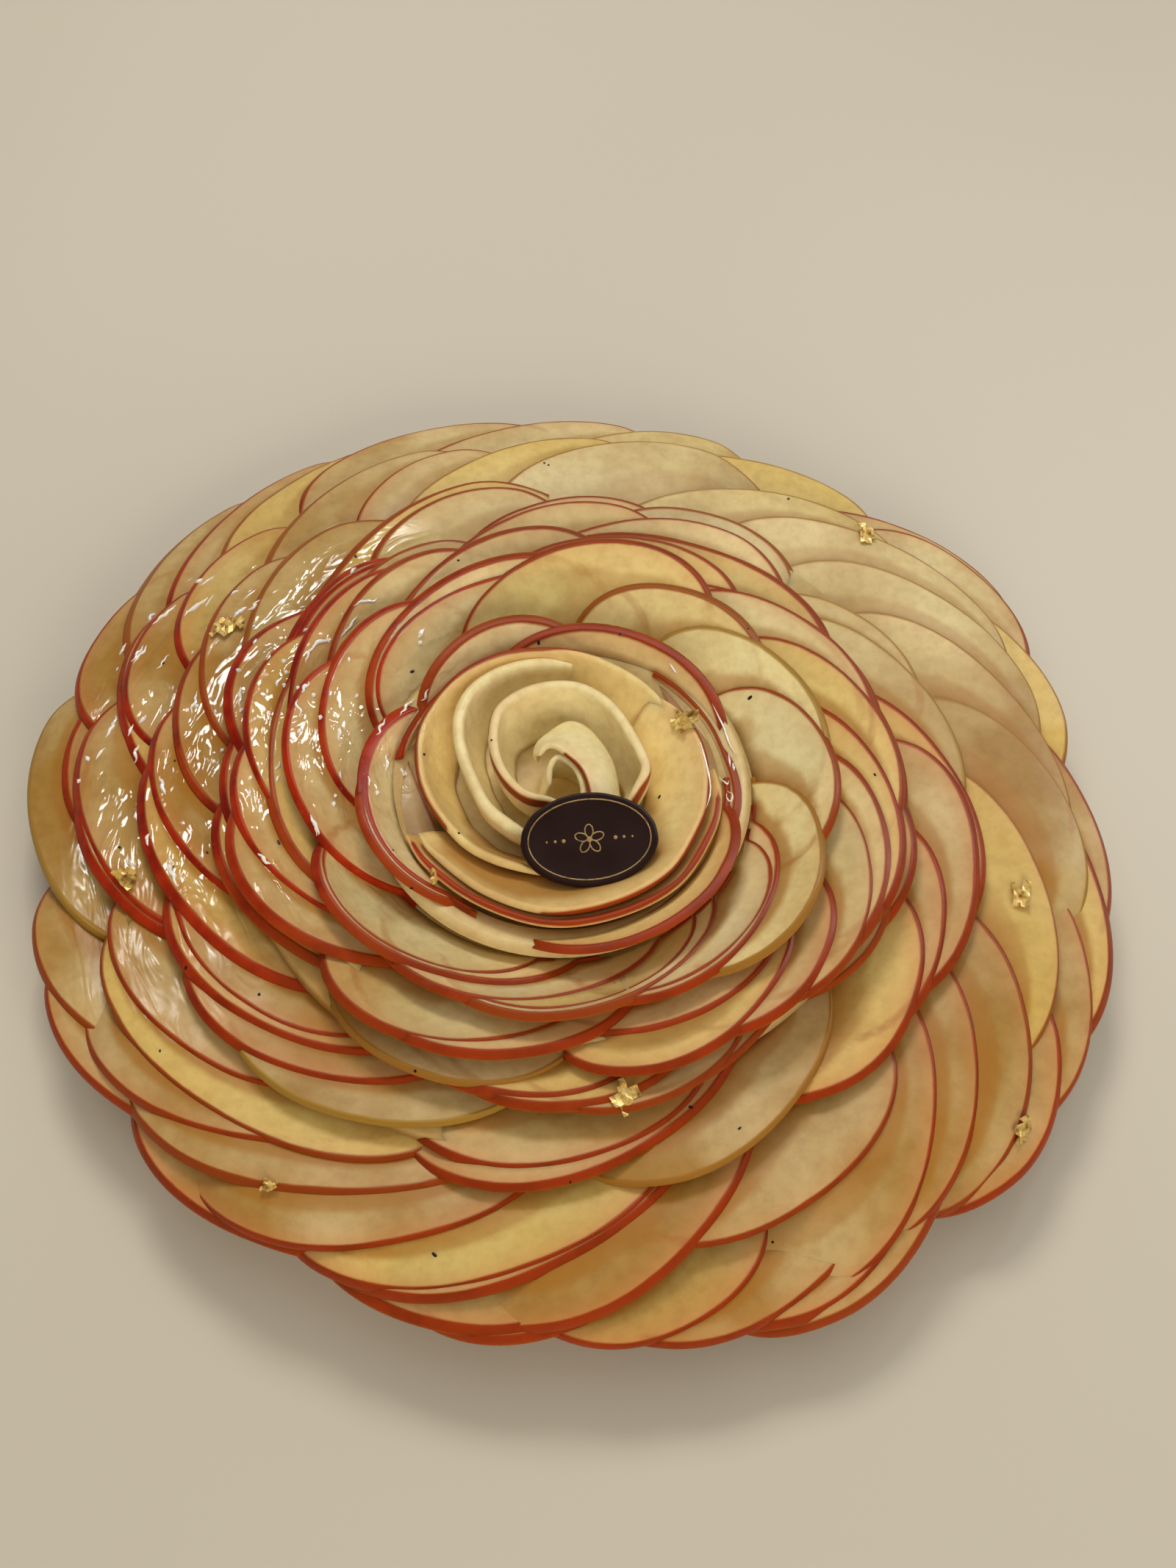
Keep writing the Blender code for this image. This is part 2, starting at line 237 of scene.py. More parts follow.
def settle(obj):
    # swaps the mesh for the evaluated one and takes the modifiers off
    bpy.context.view_layer.update()
    graph = bpy.context.evaluated_depsgraph_get()
    made = obj.evaluated_get(graph)
    mesh = bpy.data.meshes.new_from_object(made, preserve_all_data_layers=True, depsgraph=graph)
    obj.modifiers.clear()
    obj.data = mesh


def joined(name, pieces):
    # one object out of several, with their materials and attributes kept
    first = pieces[0]
    if len(pieces) > 1:
        with bpy.context.temp_override(active_object=first, object=first, selected_editable_objects=pieces):
            bpy.ops.object.join()
    first.name = name
    return first


# Camera and light

view = {
    "place": (4.65, -229.15, 400.4),
    "tilt": 32,  # degrees up from straight down
    "lens": 53.98,
    "sensor": 36,
}
light = {
    "key": {"place": (-100, 600, 900), "size": 320, "power": 4.1, "tint": (1, 0.95, 0.87)},
    "front": {"place": (280, -850, 480), "size": 600, "power": 5.2, "tint": (1, 0.96, 0.88)},
    "sky": {"place": (0, 150, 1300), "size": 1500, "power": 4.6, "tint": (1, 0.96, 0.88)},
    "room": (0.92, 0.89, 0.82, 1),
    "roomStrength": 0.2,
}
# small lamps whose reflections run over the wet slices, each for slices of another slope
lamps = {
    "places": [(-330, 640, 1000), (60, 640, 980), (400, 600, 830), (700, 520, 600), (900, 420, 400)],
    "size": 110, "power": 2.4, "tint": (1, 0.98, 0.94),
}


def makeCamera():
    data = bpy.data.cameras.new("Camera")
    data.lens = view["lens"]
    data.sensor_width = view["sensor"]
    data.clip_start = 0.01
    camera = newObject("Camera", data)
    camera.location = Vector(view["place"]) * mm
    camera.rotation_euler = (math.radians(view["tilt"]), 0, 0)
    bpy.context.scene.camera = camera


def makeLight(name, place, sizes, reflected):
    # an area light that faces the tart, and that shows in reflections alone or everywhere but there
    data = bpy.data.lights.new(name, "AREA")
    data.size = sizes["size"] * mm
    data.energy = sizes["power"]
    data.color = sizes["tint"]
    obj = newObject(name, data)
    obj.location = Vector(place) * mm
    obj.rotation_euler = (-obj.location).to_track_quat("-Z", "Y").to_euler()
    obj.visible_glossy = reflected
    obj.visible_diffuse = not reflected


def makeLights():
    for name in ("key", "front", "sky"):
        makeLight(name, light[name]["place"], light[name], False)
    for number, place in enumerate(lamps["places"]):
        makeLight(f"lamp_{number}", place, lamps, True)
    world = bpy.data.worlds.new("Room")
    world.use_nodes = True
    background = world.node_tree.nodes["Background"]
    background.inputs["Color"].default_value = light["room"]
    background.inputs["Strength"].default_value = light["roomStrength"]
    bpy.context.scene.world = world
    bpy.context.scene.view_settings.view_transform = "Standard"


table = {"side": 6000, "colour": (213, 205, 188), "other": (205, 196, 178), "rough": 0.55}


def makeFloor():
    mesh = bpy.data.meshes.new("floor")
    half = table["side"] * mm / 2
    corners = [(-half, -half, 0), (half, -half, 0), (half, half, 0), (-half, half, 0)]
    mesh.from_pydata(corners, [], [(0, 1, 2, 3)])
    floor = newObject("floor", mesh)
    material, graph, plug, place = newMaterial("floor", {"Roughness": table["rough"]})
    clouds = graph.noise(place, 2.2, 2)
    plug("Base Color", graph.mixed(clouds.ramped(0.35, 0.65), table["colour"], table["other"]))
    mesh.materials.append(material)


makeCamera()
makeLights()
makeFloor()
print("camera, light and floor made")


# Rings of slices, from the rim of the tart inwards. tip and height place the outer edge of a
# ring, slope is how steeply it rises outwards, climb is how far a slice rises a radian so that
# it lies over its neighbour, wrap bends the slices round, band is how far in the ring reaches,
# and centre is where its axis stands, if that isn't the tart's middle.
slices = {
    "seed": 7,
    "depth": 26, "thick": 1.3,
    "roundness": 2.25, "endAngle": 3,  # a half-moon's curve, and how near to its two tips the curve starts
    "steps": 56, "bottomRows": 3, "peelRows": 6, "topRows": 10,
    "setback": 0.7, "droop": 1.3, "droopReach": 11, "waviness": 0.5, "waveScale": 0.055,
    "peelScale": 1.2,
    "edgeOn": 0.3,  # how much of the peel's width is the edge's own height, seen from the front
    "taper": 0.7,  # how much narrower the peel is at a slice's ends
    "slim": 0.3,  # how much narrower the peel is on the right of the tart
    "overhang": 1.5,  # how much further the outer ring reaches than its places say
    "leastPeel": -0.3,
    "bulge": 0.14,  # how far the peel stands out at half its height
    "tuckIn": (2, 4),  # how far a slice's two ends sink under what lies beside them
    "tuckFrom": (0.8, 0.78),  # where along the slice each end starts to sink
    "spacing": 1.1,  # between a slice and the one that it lies on
}
rings = [
    {"tip": 99.0, "height": 18.5, "slope": 5, "climb": 4.4, "wrap": 0.0, "band": 20},
    {"tip": 87.5, "height": 24.5, "slope": 8, "climb": 4.0, "wrap": 0.1, "band": 19},
    {"tip": 75.0, "height": 29.6, "slope": 14, "climb": 3.7, "wrap": 0.2, "band": 18},
    {"tip": 63.0, "height": 34.0, "slope": 25, "climb": 2.8, "wrap": 0.35, "band": 16},
    {"tip": 56.2, "height": 37.9, "slope": 28, "climb": 2.1, "wrap": 0.5, "band": 13},
    {"tip": 47.1, "height": 39.8, "slope": 38, "climb": 1.4, "wrap": 0.7, "band": 16},
    {"tip": 35.4, "height": 41.7, "slope": 48, "climb": 1.0, "wrap": 0.95, "band": 8.5,
     "centre": (-0.4, -2.1)},
]

# How the slices of each ring lie, in the order in which they overlap: bearing, distance of the
# peel's middle from the axis, twist (which tucks one end in), half the length, width of the
# peel that shows, and how red the peel is
places = [
    [
        (304.5, 99.5, 24, 27, 1.4, 1), (294.4, 99.7, 15, 30, 0.8, 0.7), (282.7, 98.5, 15, 25, 0.5, 1),
        (269.5, 97, 17, 26, 1.2, 1), (256.2, 98, -4, 29, 1.5, 1), (237.1, 95.9, 11, 34, 1, 1),
        (216, 95.3, 20, 33, 0.8, 0.8), (205.2, 94.5, 26, 29, 0.8, 0.4), (180.9, 100, 21, 35, 0.5, 0.1),
        (173.7, 95.9, 18, 25, 1.5, 1), (153.9, 105.5, 7, 25, 0.8, 0.8), (144.1, 105.8, 19, 31, 1.5, 0.3),
        (135.1, 103.8, 18, 35, 1.2, 0.8), (124.4, 103.4, 12, 32, 0.8, 0.3), (108.5, 105.7, 3, 31, 1, 0.5),
        (99.1, 99.9, 15, 34, 0.8, 0.5), (85.4, 96.8, 26, 29, 0.5, 0.1), (68.6, 97.3, 16, 33, 0.5, 0.1),
        (47.7, 99.9, 27, 32, 1, 0.6), (37.5, 104.9, 11, 26, 1, 0.6), (29.9, 98.1, 20, 31, 0.5, 0.2),
        (4.8, 99.3, 19, 32, 1, 0.5), (353.7, 100.6, 21, 32, 1.5, 0.6), (343.2, 100.3, 24, 30, 0.5, 0.6),
        (330.2, 102.5, 25, 26, 1, 1), (310.3, 99.4, 25, 32, 1.2, 0.6),
    ],
    [
        (185.2, 88.6, 26, 34, 1.2, 1), (168, 86.2, 36, 33, 1, 0.9), (158.8, 93.5, 22, 25, 1.2, 0.9),
        (145, 93.1, 20, 25, 1, 0.9), (125.3, 92.4, 23, 34, 1, 0.3), (116.6, 87.9, 36, 25, 0.5, 0.6),
        (103.3, 88.4, 25, 34, 0.5, 0.2), (87.5, 91, 26, 32, 0.5, 0.2), (65.2, 86.6, 26, 36, 0.5, 0),
        (46.9, 92.3, 25, 37, 0.5, 0.2), (35.7, 91.1, 26, 35, 0.5, 0.1), (19.5, 91.6, 22, 37, 0.5, 0.2),
        (9, 92, 34, 32, 0.5, 0.1), (353, 89.3, 28, 36, 0.2, 0.3), (334.5, 93.2, 40, 34, 1, 0.5),
        (317.4, 89.6, 40, 37, 0.8, 0.9), (299.2, 88.7, 6, 32, 0.5, 0.6), (285.6, 87.3, 36, 36, 1.2, 1),
        (271.5, 87.3, 29, 39, 1.2, 1), (266.4, 90, 25, 38, 1, 1), (252.6, 88.6, 31, 37, 0.5, 0.9),
        (241.8, 86.1, 26, 41, 1, 0.4), (232, 84, 31, 41, 0.8, 0.7), (224.4, 86.1, 13, 41, 0.5, 0.4),
        (214.9, 83, 18, 33, 0.5, 0.7), (190.1, 86, 30, 31, 1.2, 0.9), (325.5, 90, 38, 35, 0.8, 0.7),
    ],
    [
        (67.8, 74.2, 8, 25, 1, 0.3), (37, 71.7, 18, 26, 0.5, 0.1), (23.7, 72.9, 15, 33, 0.5, 0),
        (8.5, 72.2, 23, 35, 1, 1), (349.2, 78.1, 7, 31, 1.2, 0.8), (338.6, 74.4, 13, 28, 1.2, 1),
        (326.5, 75.5, 14, 27, 1, 1), (303.8, 72.9, 21, 32, 0.5, 0.2), (282.1, 70.5, 22, 35, 1, 1),
        (274.5, 71.3, 13, 31, 1, 0.9), (242.8, 72.6, 18, 32, 0.5, 0), (232, 70.8, 25, 32, 1, 1),
        (221.1, 70.5, 22, 33, 1.2, 1), (216.8, 70.5, 19, 30, 1.2, 1), (198.9, 72.4, 22, 37, 1.4, 0.9),
        (188.1, 71.1, 31, 32, 1, 0.9), (168.5, 75.6, 24, 28, 0.8, 0.6), (155.7, 77.9, 29, 30, 0.8, 0.5),
        (146.5, 74.5, 26, 34, 1.2, 0.3), (129.7, 70.5, 22, 42, 1.2, 0.4), (113.7, 75.3, 19, 25, 1, 0.4),
        (96, 70.5, 19, 27, 0.8, 0.6), (76, 71.2, 15, 30, 0.5, 0.5),
    ],
    [
        (145.4, 62.4, 17, 28, 1, 1), (131.9, 61.8, 18, 26, 0.5, 0.4), (102.2, 63.7, 23, 30, 0.5, 0.7),
        (83.1, 62.4, 25, 33, 0.5, 0.5), (64.8, 62.7, 6, 37, 1, 0.6), (41.2, 60, 13, 33, 0.8, 0.7),
        (11.5, 62.9, 6, 30, 0.8, 0.8), (1.1, 61.5, 26, 27, 0.8, 1), (345, 61.3, 23, 25, 0.5, 0.5),
        (303.4, 60.9, 17, 31, 0.5, 0.5), (286.7, 65.4, 8, 25, 0.5, 0.5), (271.3, 64.5, 1, 26, 1.2, 0.7),
        (260.4, 62.8, -4, 27, 1.5, 0.7), (246, 62.8, 0, 27, 0.5, 0.2), (212.3, 58.5, 25, 31, 1.2, 0.7),
        (191.7, 59.8, 21, 28, 0.8, 1), (170.5, 62.1, 40, 25, 1.2, 0.8), (157, 59.3, 21, 37, 1, 1),
    ],
    [
        (321.6, 60.1, 20, 25, 1.2, 1), (312.8, 53.3, 16, 34, 0.5, 0.5), (307.8, 58.3, 20, 31, 1.2, 0.9),
        (294.8, 53.8, -4, 29, 1.4, 1), (263, 56.5, 18, 31, 1.2, 0.9), (257.3, 55.2, 25, 30, 1.2, 0.7),
        (222, 53.3, 38, 30, 1.4, 0.7), (206.2, 53.2, 32, 31, 0.8, 1), (186.2, 53.1, 33, 34, 0.5, 0.8),
        (174.9, 54.9, 8, 38, 1.2, 0.5), (159.7, 55.1, 20, 36, 0.8, 1), (140.7, 55.3, 22, 29, 1, 0.5),
        (121.3, 53.2, 23, 33, 1, 0.5), (83, 56.3, 12, 31, 0.5, 0.6), (53.4, 53.9, 18, 39, 0.5, 0.8),
        (39.6, 58, 16, 33, 0.5, 0.7), (20.3, 59, 19, 34, 0.5, 0.6), (4.4, 58, 26, 35, 1, 0.9),
        (351.3, 59.6, 24, 30, 1.7, 0.6), (342.7, 58.5, 27, 30, 0.5, 0.6),
    ],
    [
        (274.8, 44.7, 23, 35, 1.2, 0.8), (242.4, 46.8, 16, 35, 1.2, 0.7), (234.6, 47.1, 14, 30, 0.8, 0.7),
        (192, 47.5, 25, 33, 0.5, 0.9), (160.6, 47.8, 17, 31, 0.8, 0.7), (125, 48, 12, 36, 1, 0.6),
        (111.4, 46.7, 2, 38, 0.8, 1), (99.1, 48.5, 25, 33, 0.8, 0.6), (61.6, 47.4, 12, 26, 1, 0.3),
        (30.5, 48.1, 12, 32, 0.5, 0), (13.7, 47.8, 22, 28, 0.5, 0.4), (341.8, 49.6, 27, 29, 0.5, 0.2),
        (319.6, 46.9, 17, 33, 0.8, 1), (311.6, 47.5, 10, 30, 1.2, 0.8), (294, 45.8, 23, 36, 1.2, 0.5),
        (287.6, 46, 22, 32, 1.2, 0.8),
    ],
    [
        (104.5, 31.6, -4, 34, 1, 0.7), (63.5, 34.8, 0, 39, 1.2, 0.8), (5.1, 31.8, 8, 31, 1, 0.6),
        (309.7, 37, 4, 36, 1.4, 0.9), (206.7, 36.5, 10, 26, 0.8, 0.6), (182.6, 36.1, -4, 34, 1.2, 0.8),
        (127.2, 35.1, 16, 27, 1, 0.5),
    ],
]
core = {
    "setback": 5, "topDrop": 1.7, "baseDrop": 3.8, "footLean": 0.8, "lift": 0.8, "shoulder": 3.5,
    "floorStart": 12.3, "floorThick": 1.8, "gap": 0.3, "steps": 96,
    # high and brim give the cores painted shade: a little underside colour and some tuck shadow
    "marks": {"edge": 9, "high": 0.65, "blush": 0.4, "tint": 0.5, "ghost": 9, "brim": 5},
}


# Apple slices: flesh, peel, glaze, painted shade and painted light in one material
apple = {
    "flesh": (255, 239, 182),
    "deep": (174, 134, 64),
    "golden": (240, 210, 118),
    # painted shade: the colour the flesh takes where it runs under the slice above
    "tuckShadow": (170, 112, 34),
    # painted shade for undersides and for the foot of a bowl or bud slice
    "under": (174, 120, 44),
    "pink": (212, 138, 82),
    "ghost": (174, 104, 50),
    "peelBright": (180, 46, 8),
    "peelDark": (134, 18, 3),
    "peelOrange": (160, 76, 20),
    "peelYellow": (168, 128, 50),
    "peelBrown": (146, 62, 14),
    "speck": (206, 120, 60),
    "fade": 2.6,  # how far in from the peel the pink reaches
    "tuck": 6.5,  # how far the painted shade beside an upper slice reaches
    "pale": 0.034, "tanned": 0.08,  # metres from the axis where the flesh is palest, and deepest: partly baked tone, partly painted shade on the outer rings
    "line": 0.16, "soft": 0.45,  # how far the peel shows on top of the slice, and how soft its edge is
    "dryRough": 0.4, "wetRough": 0.06,
    "wetMiddle": (-0.060, 0.02),  # where the glaze is thickest, in metres
    "scatter": 0.35, "scatterReach": (1.5, 1.4, 1.2),
    "wave": 1.3,  # how high the glaze's ripples stand
    "flow": 0.024,  # how far the ripples are drawn out along the slices
    # how fine each pattern is, in waves a metre
    "clouds": 38, "grain": 420, "streaks": 110, "dots": 520, "ripple": 260, "swell": 60,
}


def makeAppleMaterial():
    material, graph, plug, place = newMaterial("apple", {
        "Subsurface Weight": apple["scatter"],
        "Subsurface Radius": apple["scatterReach"],
        "Subsurface Scale": mm,
        "Specular IOR Level": 0.25,
        "IOR": 1.42,
    })
    edge = graph.attribute("edge")  # millimetres in from the peel
    blush = graph.attribute("blush")  # how red this slice's peel is
    tint = graph.attribute("tint")  # a chance number for each slice
    ghost = graph.attribute("ghost")  # distance to the peel of the slice below
    brim = graph.attribute("brim")  # distance to the peel of the slice above
    high = graph.attribute("high")  # 0 at the slice's underside, 1 on top

    axes = graph.node("ShaderNodeSeparateXYZ", None, [place])
    x, y, z = axes.out("X"), axes.out("Y"), axes.out("Z")
    radius = (x * x + y * y).maths("SQRT")
    clouds = graph.noise(place, apple["clouds"], 3)
    fine = graph.noise(place, apple["grain"], 3, 0.6)
    # deeper towards the rim, partly baked tone and partly painted shade; paler on the far side, as painted
    # light
    outer = radius.ramped(apple["pale"], apple["tanned"]) * (1 - y.ramped(0.005, 0.075) * 0.6)
    # painted shade: the flesh on the left is made deeper
    west = (-x).ramped(0.015, 0.05)
    shadeShare = 1 - y.ramped(0, 0.06) * 0.5  # the far side is painted as better lit: it keeps half of the painted shade and has fainter lines of the peel below
    tanAndShade = (clouds - 0.5) * 1.5 + outer * (0.75 - west * 0.35) + west * 0.4
    tanAndShade = tanAndShade + radius.ramped(0.016, 0.04) * 0.08
    flesh = graph.mixed(tanAndShade.clamped(), apple["flesh"], apple["deep"])
    flesh = graph.mixed(tint.ramped(0.4, 1.0) * 0.7, flesh, apple["golden"])
    flesh = graph.mixed(fine.ramped(0.3, 0.8) * 0.25, flesh, apple["deep"], "MULTIPLY")
    near = (-(edge / apple["fade"])).maths("EXPONENT") * blush
    flesh = graph.mixed((near * 0.7).clamped(), flesh, apple["pink"])
    below = (1 - ghost.ramped(0.25, 1.15)) * clouds.ramped(0.25, 0.55) * shadeShare * 0.5
    flesh = graph.mixed(below, flesh, apple["ghost"])
    own = (edge * edge + slices["spacing"] ** 2).maths("SQRT")
    # painted shade, darkest near the edge of the slice above
    tuckShade = (-(brim / apple["tuck"])).maths("EXPONENT") * (own * 0.75 - brim).ramped(0, 3)
    flesh = graph.mixed((tuckShade * shadeShare * 0.95).clamped(), flesh, apple["tuckShadow"])
    # painted shade, darker towards a slice's underside
    flesh = graph.mixed((1 - high.ramped(0, 0.8)) * 0.9, flesh, apple["under"])

    streaks = graph.noise(place, apple["streaks"], 3, 0.6)
    red = graph.mixed(streaks.ramped(0.35, 0.7), apple["peelBright"], apple["peelDark"])
    dots = graph.node("ShaderNodeTexVoronoi", None, {"Vector": place, "Scale": apple["dots"]})
    red = graph.mixed((1 - dots.ramped(0.08, 0.16)) * 0.2, red, apple["speck"])
    faint = (blush + (streaks - 0.5) * 0.8).ramped(0.85, 0.3)
    red = graph.mixed(faint * 0.85, red, apple["peelOrange"])
    left, across = x - apple["wetMiddle"][0], (y - apple["wetMiddle"][1]) * 0.75
    wet = 1 - ((left * left + across * across).maths("SQRT") + (clouds - 0.5) * 0.05).ramped(0.026, 0.056)
    red = graph.mixed((1 - wet) * 0.6, red, apple["peelBrown"])
    skin = graph.mixed(blush.ramped(0.08, 0.4), apple["peelYellow"], red)
    isPeel = 1 - (edge + (streaks - 0.5) * 0.5).ramped(apple["line"] - 0.1, apple["line"] + apple["soft"])
    plug("Base Color", graph.mixed(isPeel, flesh, skin))

    # the glaze is thick and wet on the left, thin elsewhere, and its ripples run with the slices
    sheen = wet * (1 - isPeel * 0.8)
    plug("Roughness", sheen * (apple["wetRough"] - apple["dryRough"]) + apple["dryRough"])
    along = (-y).maths("ARCTAN2", -x) * apple["flow"]
    ripple = graph.noise(graph.xyz(radius, along, z), apple["ripple"], 2, 0.5, Distortion=0.6)
    swell = graph.noise(place, apple["swell"], 1)
    height = (ripple + swell * 0.6) * sheen + fine * 0.012 + swell * 0.2
    plug("Normal", graph.bump(height, 0.6, apple["wave"]))
    return material


appleMaterial = makeAppleMaterial()


def slicePoints(level):
    # one vertex for each slice, which carries the slice's own sizes as attributes
    chance = random.Random(slices["seed"] + level)
    rows = []
    for number, (bearing, tip, twist, half, width, red) in enumerate(places[level]):
        bearing = math.radians(bearing)
        edgeOn = slices["edgeOn"] * max(0, -math.sin(bearing))
        scale = slices["peelScale"] * (1 - slices["slim"] * max(0, math.cos(bearing)))
        rows.append({
            "bearing": bearing, "tip": tip + slices["overhang"] * (level == 0),
            "twist": math.radians(twist), "half": half,
            "peel": max(slices["leastPeel"], width * scale - edgeOn),
            "blush": red, "tint": chance.random(), "number": float(number),
        })
    mesh = bpy.data.meshes.new(f"slice_ring_{level + 1}")
    mesh.from_pydata([(0, 0, 0)] * len(rows), [], [])
    for name in rows[0]:
        spread = mesh.attributes.new(name, "FLOAT", "POINT")
        spread.data.foreach_set("value", [row[name] for row in rows])
    return newObject(f"apple_ring_{level + 1}", mesh)


def makeSliceTree():
    # lays a half-moon on each point: a strip that runs round the slice's section, in along the
    # underside, up over the peel and back in along the top
    graph, size = newTree("slices", {
        **dict.fromkeys(("height", "slope", "climb", "wrap", "tip", "inner", "thick", "depth", "power",
                         "endAngle", "droop", "droopReach", "waviness", "waveScale", "spacing"), "Float"),
        **dict.fromkeys(("steps", "bottomRows", "peelRows", "topRows"), "Int"),
        "centre": "Vector", "Material": "Material",
    })
    rows = size["bottomRows"] + size["peelRows"] + size["topRows"] + 1
    grid = graph.node("GeometryNodeMeshGrid", None, [1, 1, size["steps"] + 1, rows + 1])
    place = graph.node("ShaderNodeSeparateXYZ", None, [graph.node("GeometryNodeInputPosition")])
    strip = stored(graph, grid, "along", place.out("X") + 0.5)
    strip = stored(graph, strip, "row", (place.out("Y") + 0.5) * rows)
    laid = graph.node("GeometryNodeInstanceOnPoints", None, {"Points": size["Geometry"], "Instance": strip})
    laid = graph.node("GeometryNodeRealizeInstances", None, [laid])

    along, row = named(graph, "along"), named(graph, "row")
    half, twist, tip = named(graph, "half"), named(graph, "twist"), named(graph, "tip")
    under = (row / size["bottomRows"]).clamped()
    up = ((row - size["bottomRows"]) / size["peelRows"]).clamped()
    over = ((row - size["bottomRows"] - size["peelRows"]) / size["topRows"]).clamped()
    closing = (row - rows + 1).clamped()  # the last row drops to the underside, where the first one is
    inside = (1 - under) + over ** 2.0

    # the peel side is part of a superellipse, and the underside stands out by the peel's width
    angle = size["endAngle"] + along * (math.pi - 2 * size["endAngle"])
    cosine, sine = angle.cosine(), angle.sine()
    runX = cosine.maths("SIGN") * cosine.maths("ABSOLUTE") ** size["power"] * half
    runIn = size["depth"] * (1 - sine ** size["power"])
    normalX, normalIn = cosine / half, sine / size["depth"]
    length = (normalX * normalX + normalIn * normalIn).maths("SQRT")
    taper = 1 - ((along * 2 - 1) ** 4) * slices["taper"]
    out = named(graph, "peel") * taper * (0.5 - up) + slices["bulge"] * (up * math.pi).sine()
    runX = runX + out * normalX / length
    runIn = runIn - out * normalIn / length
    turnedX = runX * twist.cosine() - runIn * twist.sine()
    turnedIn = runX * twist.sine() + runIn * twist.cosine()

    # from the flat slice onto the ring's cone
    slope = size["slope"]
    reach = tip - turnedIn * slope.cosine()
    flatDistance = (reach * reach + turnedX * turnedX).maths("SQRT")
    flatTurn = turnedX.maths("ARCTAN2", reach)
    bend = size["wrap"]
    edgeDistance = flatDistance * (1 - bend) + reach * bend
    edgeDistance = edgeDistance.maths("MAXIMUM", size["inner"] + slices["setback"])
    turn = flatTurn * (1 - bend) + turnedX / tip * bend
    distance = edgeDistance * (1 - inside) + size["inner"] * inside
    bearing = named(graph, "bearing") + turn
    past = (1 - (size["tip"] - distance) / size["droopReach"]).maths("MAXIMUM", 0)
    flat = graph.polar(distance, bearing, named(graph, "number") * 40)
    ripple = graph.noise(flat, size["waveScale"], 1)
    lift = turn * size["climb"] - (1 - up + closing) * size["thick"] + (ripple - 0.5) * size["waviness"]
    sag = past * past * size["droop"]
    (firstDrop, lastDrop), (firstFrom, lastFrom) = slices["tuckIn"], slices["tuckFrom"]
    sunk = (1 - along).ramped(firstFrom, 1) * firstDrop + along.ramped(lastFrom, 1) * lastDrop
    sunk = sunk * (1 - bend) * (1 - bend)
    height = size["height"] - (size["tip"] - distance) * slope.maths("TANGENT") + lift * slope.cosine()
    distance = distance - lift * slope.sine() - sag * 0.5
    spot = graph.vector("ADD", graph.polar(distance, bearing, height - sag - sunk), size["centre"])
    laid = graph.node("GeometryNodeSetPosition", None,
                      {"Geometry": laid, "Position": graph.vector("MULTIPLY", spot, (mm, mm, mm))})

    # distances that the material reads
    square = ((normalIn * twist.cosine() - normalX * twist.sine()) / length).maths("MAXIMUM", 0.2)
    laid = stored(graph, laid, "edge", (edgeDistance - size["inner"]) * inside * square)
    laid = stored(graph, laid, "high", up)
    isRim = graph.node("FunctionNodeCompare", {"data_type": "FLOAT", "operation": "EQUAL"},
                       {0: row, 1: size["bottomRows"] + size["peelRows"], "Epsilon": 0.1})
    rim = graph.node("GeometryNodeSeparateGeometry", {"domain": "POINT"}, [laid, isRim])
    normal = graph.polar(-slope.sine(), bearing, slope.cosine())
    position = graph.node("GeometryNodeInputPosition")
    for name, side in (("ghost", -1), ("brim", 1)):
        step = graph.vector("SCALE", normal)
        graph.tree.links.new((size["spacing"] * (side * mm)).socket, step.socket.node.inputs["Scale"])
        near = graph.node("GeometryNodeProximity", {"target_element": "EDGES"},
                          {"Geometry": rim, "Sample Position": graph.vector("ADD", position, step)})
        laid = stored(graph, laid, name, near.out("Distance") / mm)
    laid = graph.node("GeometryNodeMergeByDistance", None, {"Geometry": laid, "Distance": 0.00001})
    laid = graph.node("GeometryNodeFlipFaces", None, [laid])
    laid = graph.node("GeometryNodeSetShadeSmooth", None, [laid])
    return closeTree(graph, laid, size["Material"])


def closeEnds(obj):
    # a cap over each end of every slice
    bm = bmesh.new()
    bm.from_mesh(obj.data)
    caps = bmesh.ops.holes_fill(bm, edges=[edge for edge in bm.edges if edge.is_boundary], sides=0)["faces"]
    for cap in caps:
        cap.smooth = False
    bmesh.ops.triangulate(bm, faces=caps)
    bm.to_mesh(obj.data)
    bm.free()


def ringCore(level):
    # the dish of soft apple that the slices of a ring lie on
    ring = rings[level]
    slope = math.radians(ring["slope"])

    def under(inward, drop):
        return (ring["tip"] - inward * math.cos(slope) + drop * math.sin(slope),
                ring["height"] - inward * math.sin(slope) - drop * math.cos(slope))

    floor = core["floorStart"] + level * (core["floorThick"] + core["gap"])
    foot = under(ring["band"], core["baseDrop"])
    floorRadius = foot[0] - (foot[1] - floor) * core["footLean"]
    return [
        (0, floor + core["floorThick"]), (floorRadius - core["gap"], floor + core["floorThick"]),
        under(ring["band"], -core["lift"] / 2), under(ring["band"] - core["shoulder"], core["topDrop"]),
        under(core["setback"], core["topDrop"]), under(core["setback"], core["baseDrop"]),
        foot, (floorRadius, floor), (0, floor),
    ]


def turnedPiece(name, profile, steps, material):
    # a closed half-outline turned round the axis, with faces outwards
    bm = bmesh.new()
    rows = []
    for radius, height in profile:
        count = 1 if radius == 0 else steps
        rows.append([bm.verts.new((*polar(radius * mm, 2 * math.pi * i / steps), height * mm))
                     for i in range(count)])
    for upper, lower in zip(rows, rows[1:]):
        for i in range(steps):
            face = [row[k % len(row)] for row, k in ((upper, i), (lower, i), (lower, i + 1), (upper, i + 1))]
            bm.faces.new(list(dict.fromkeys(face)))
    return solidObject(name, bm, material)


def ringSizes(level):
    # what the tree's inputs take for one ring
    ring = {"centre": (0, 0), **rings[level]}
    slope = math.radians(ring["slope"])
    return {
        **slices, **ring, "slope": slope, "centre": (*ring["centre"], 0), "Material": appleMaterial,
        "inner": ring["tip"] - ring["band"] * math.cos(slope) + slices["setback"],
        "power": 2 / slices["roundness"], "endAngle": math.radians(slices["endAngle"]),
    }


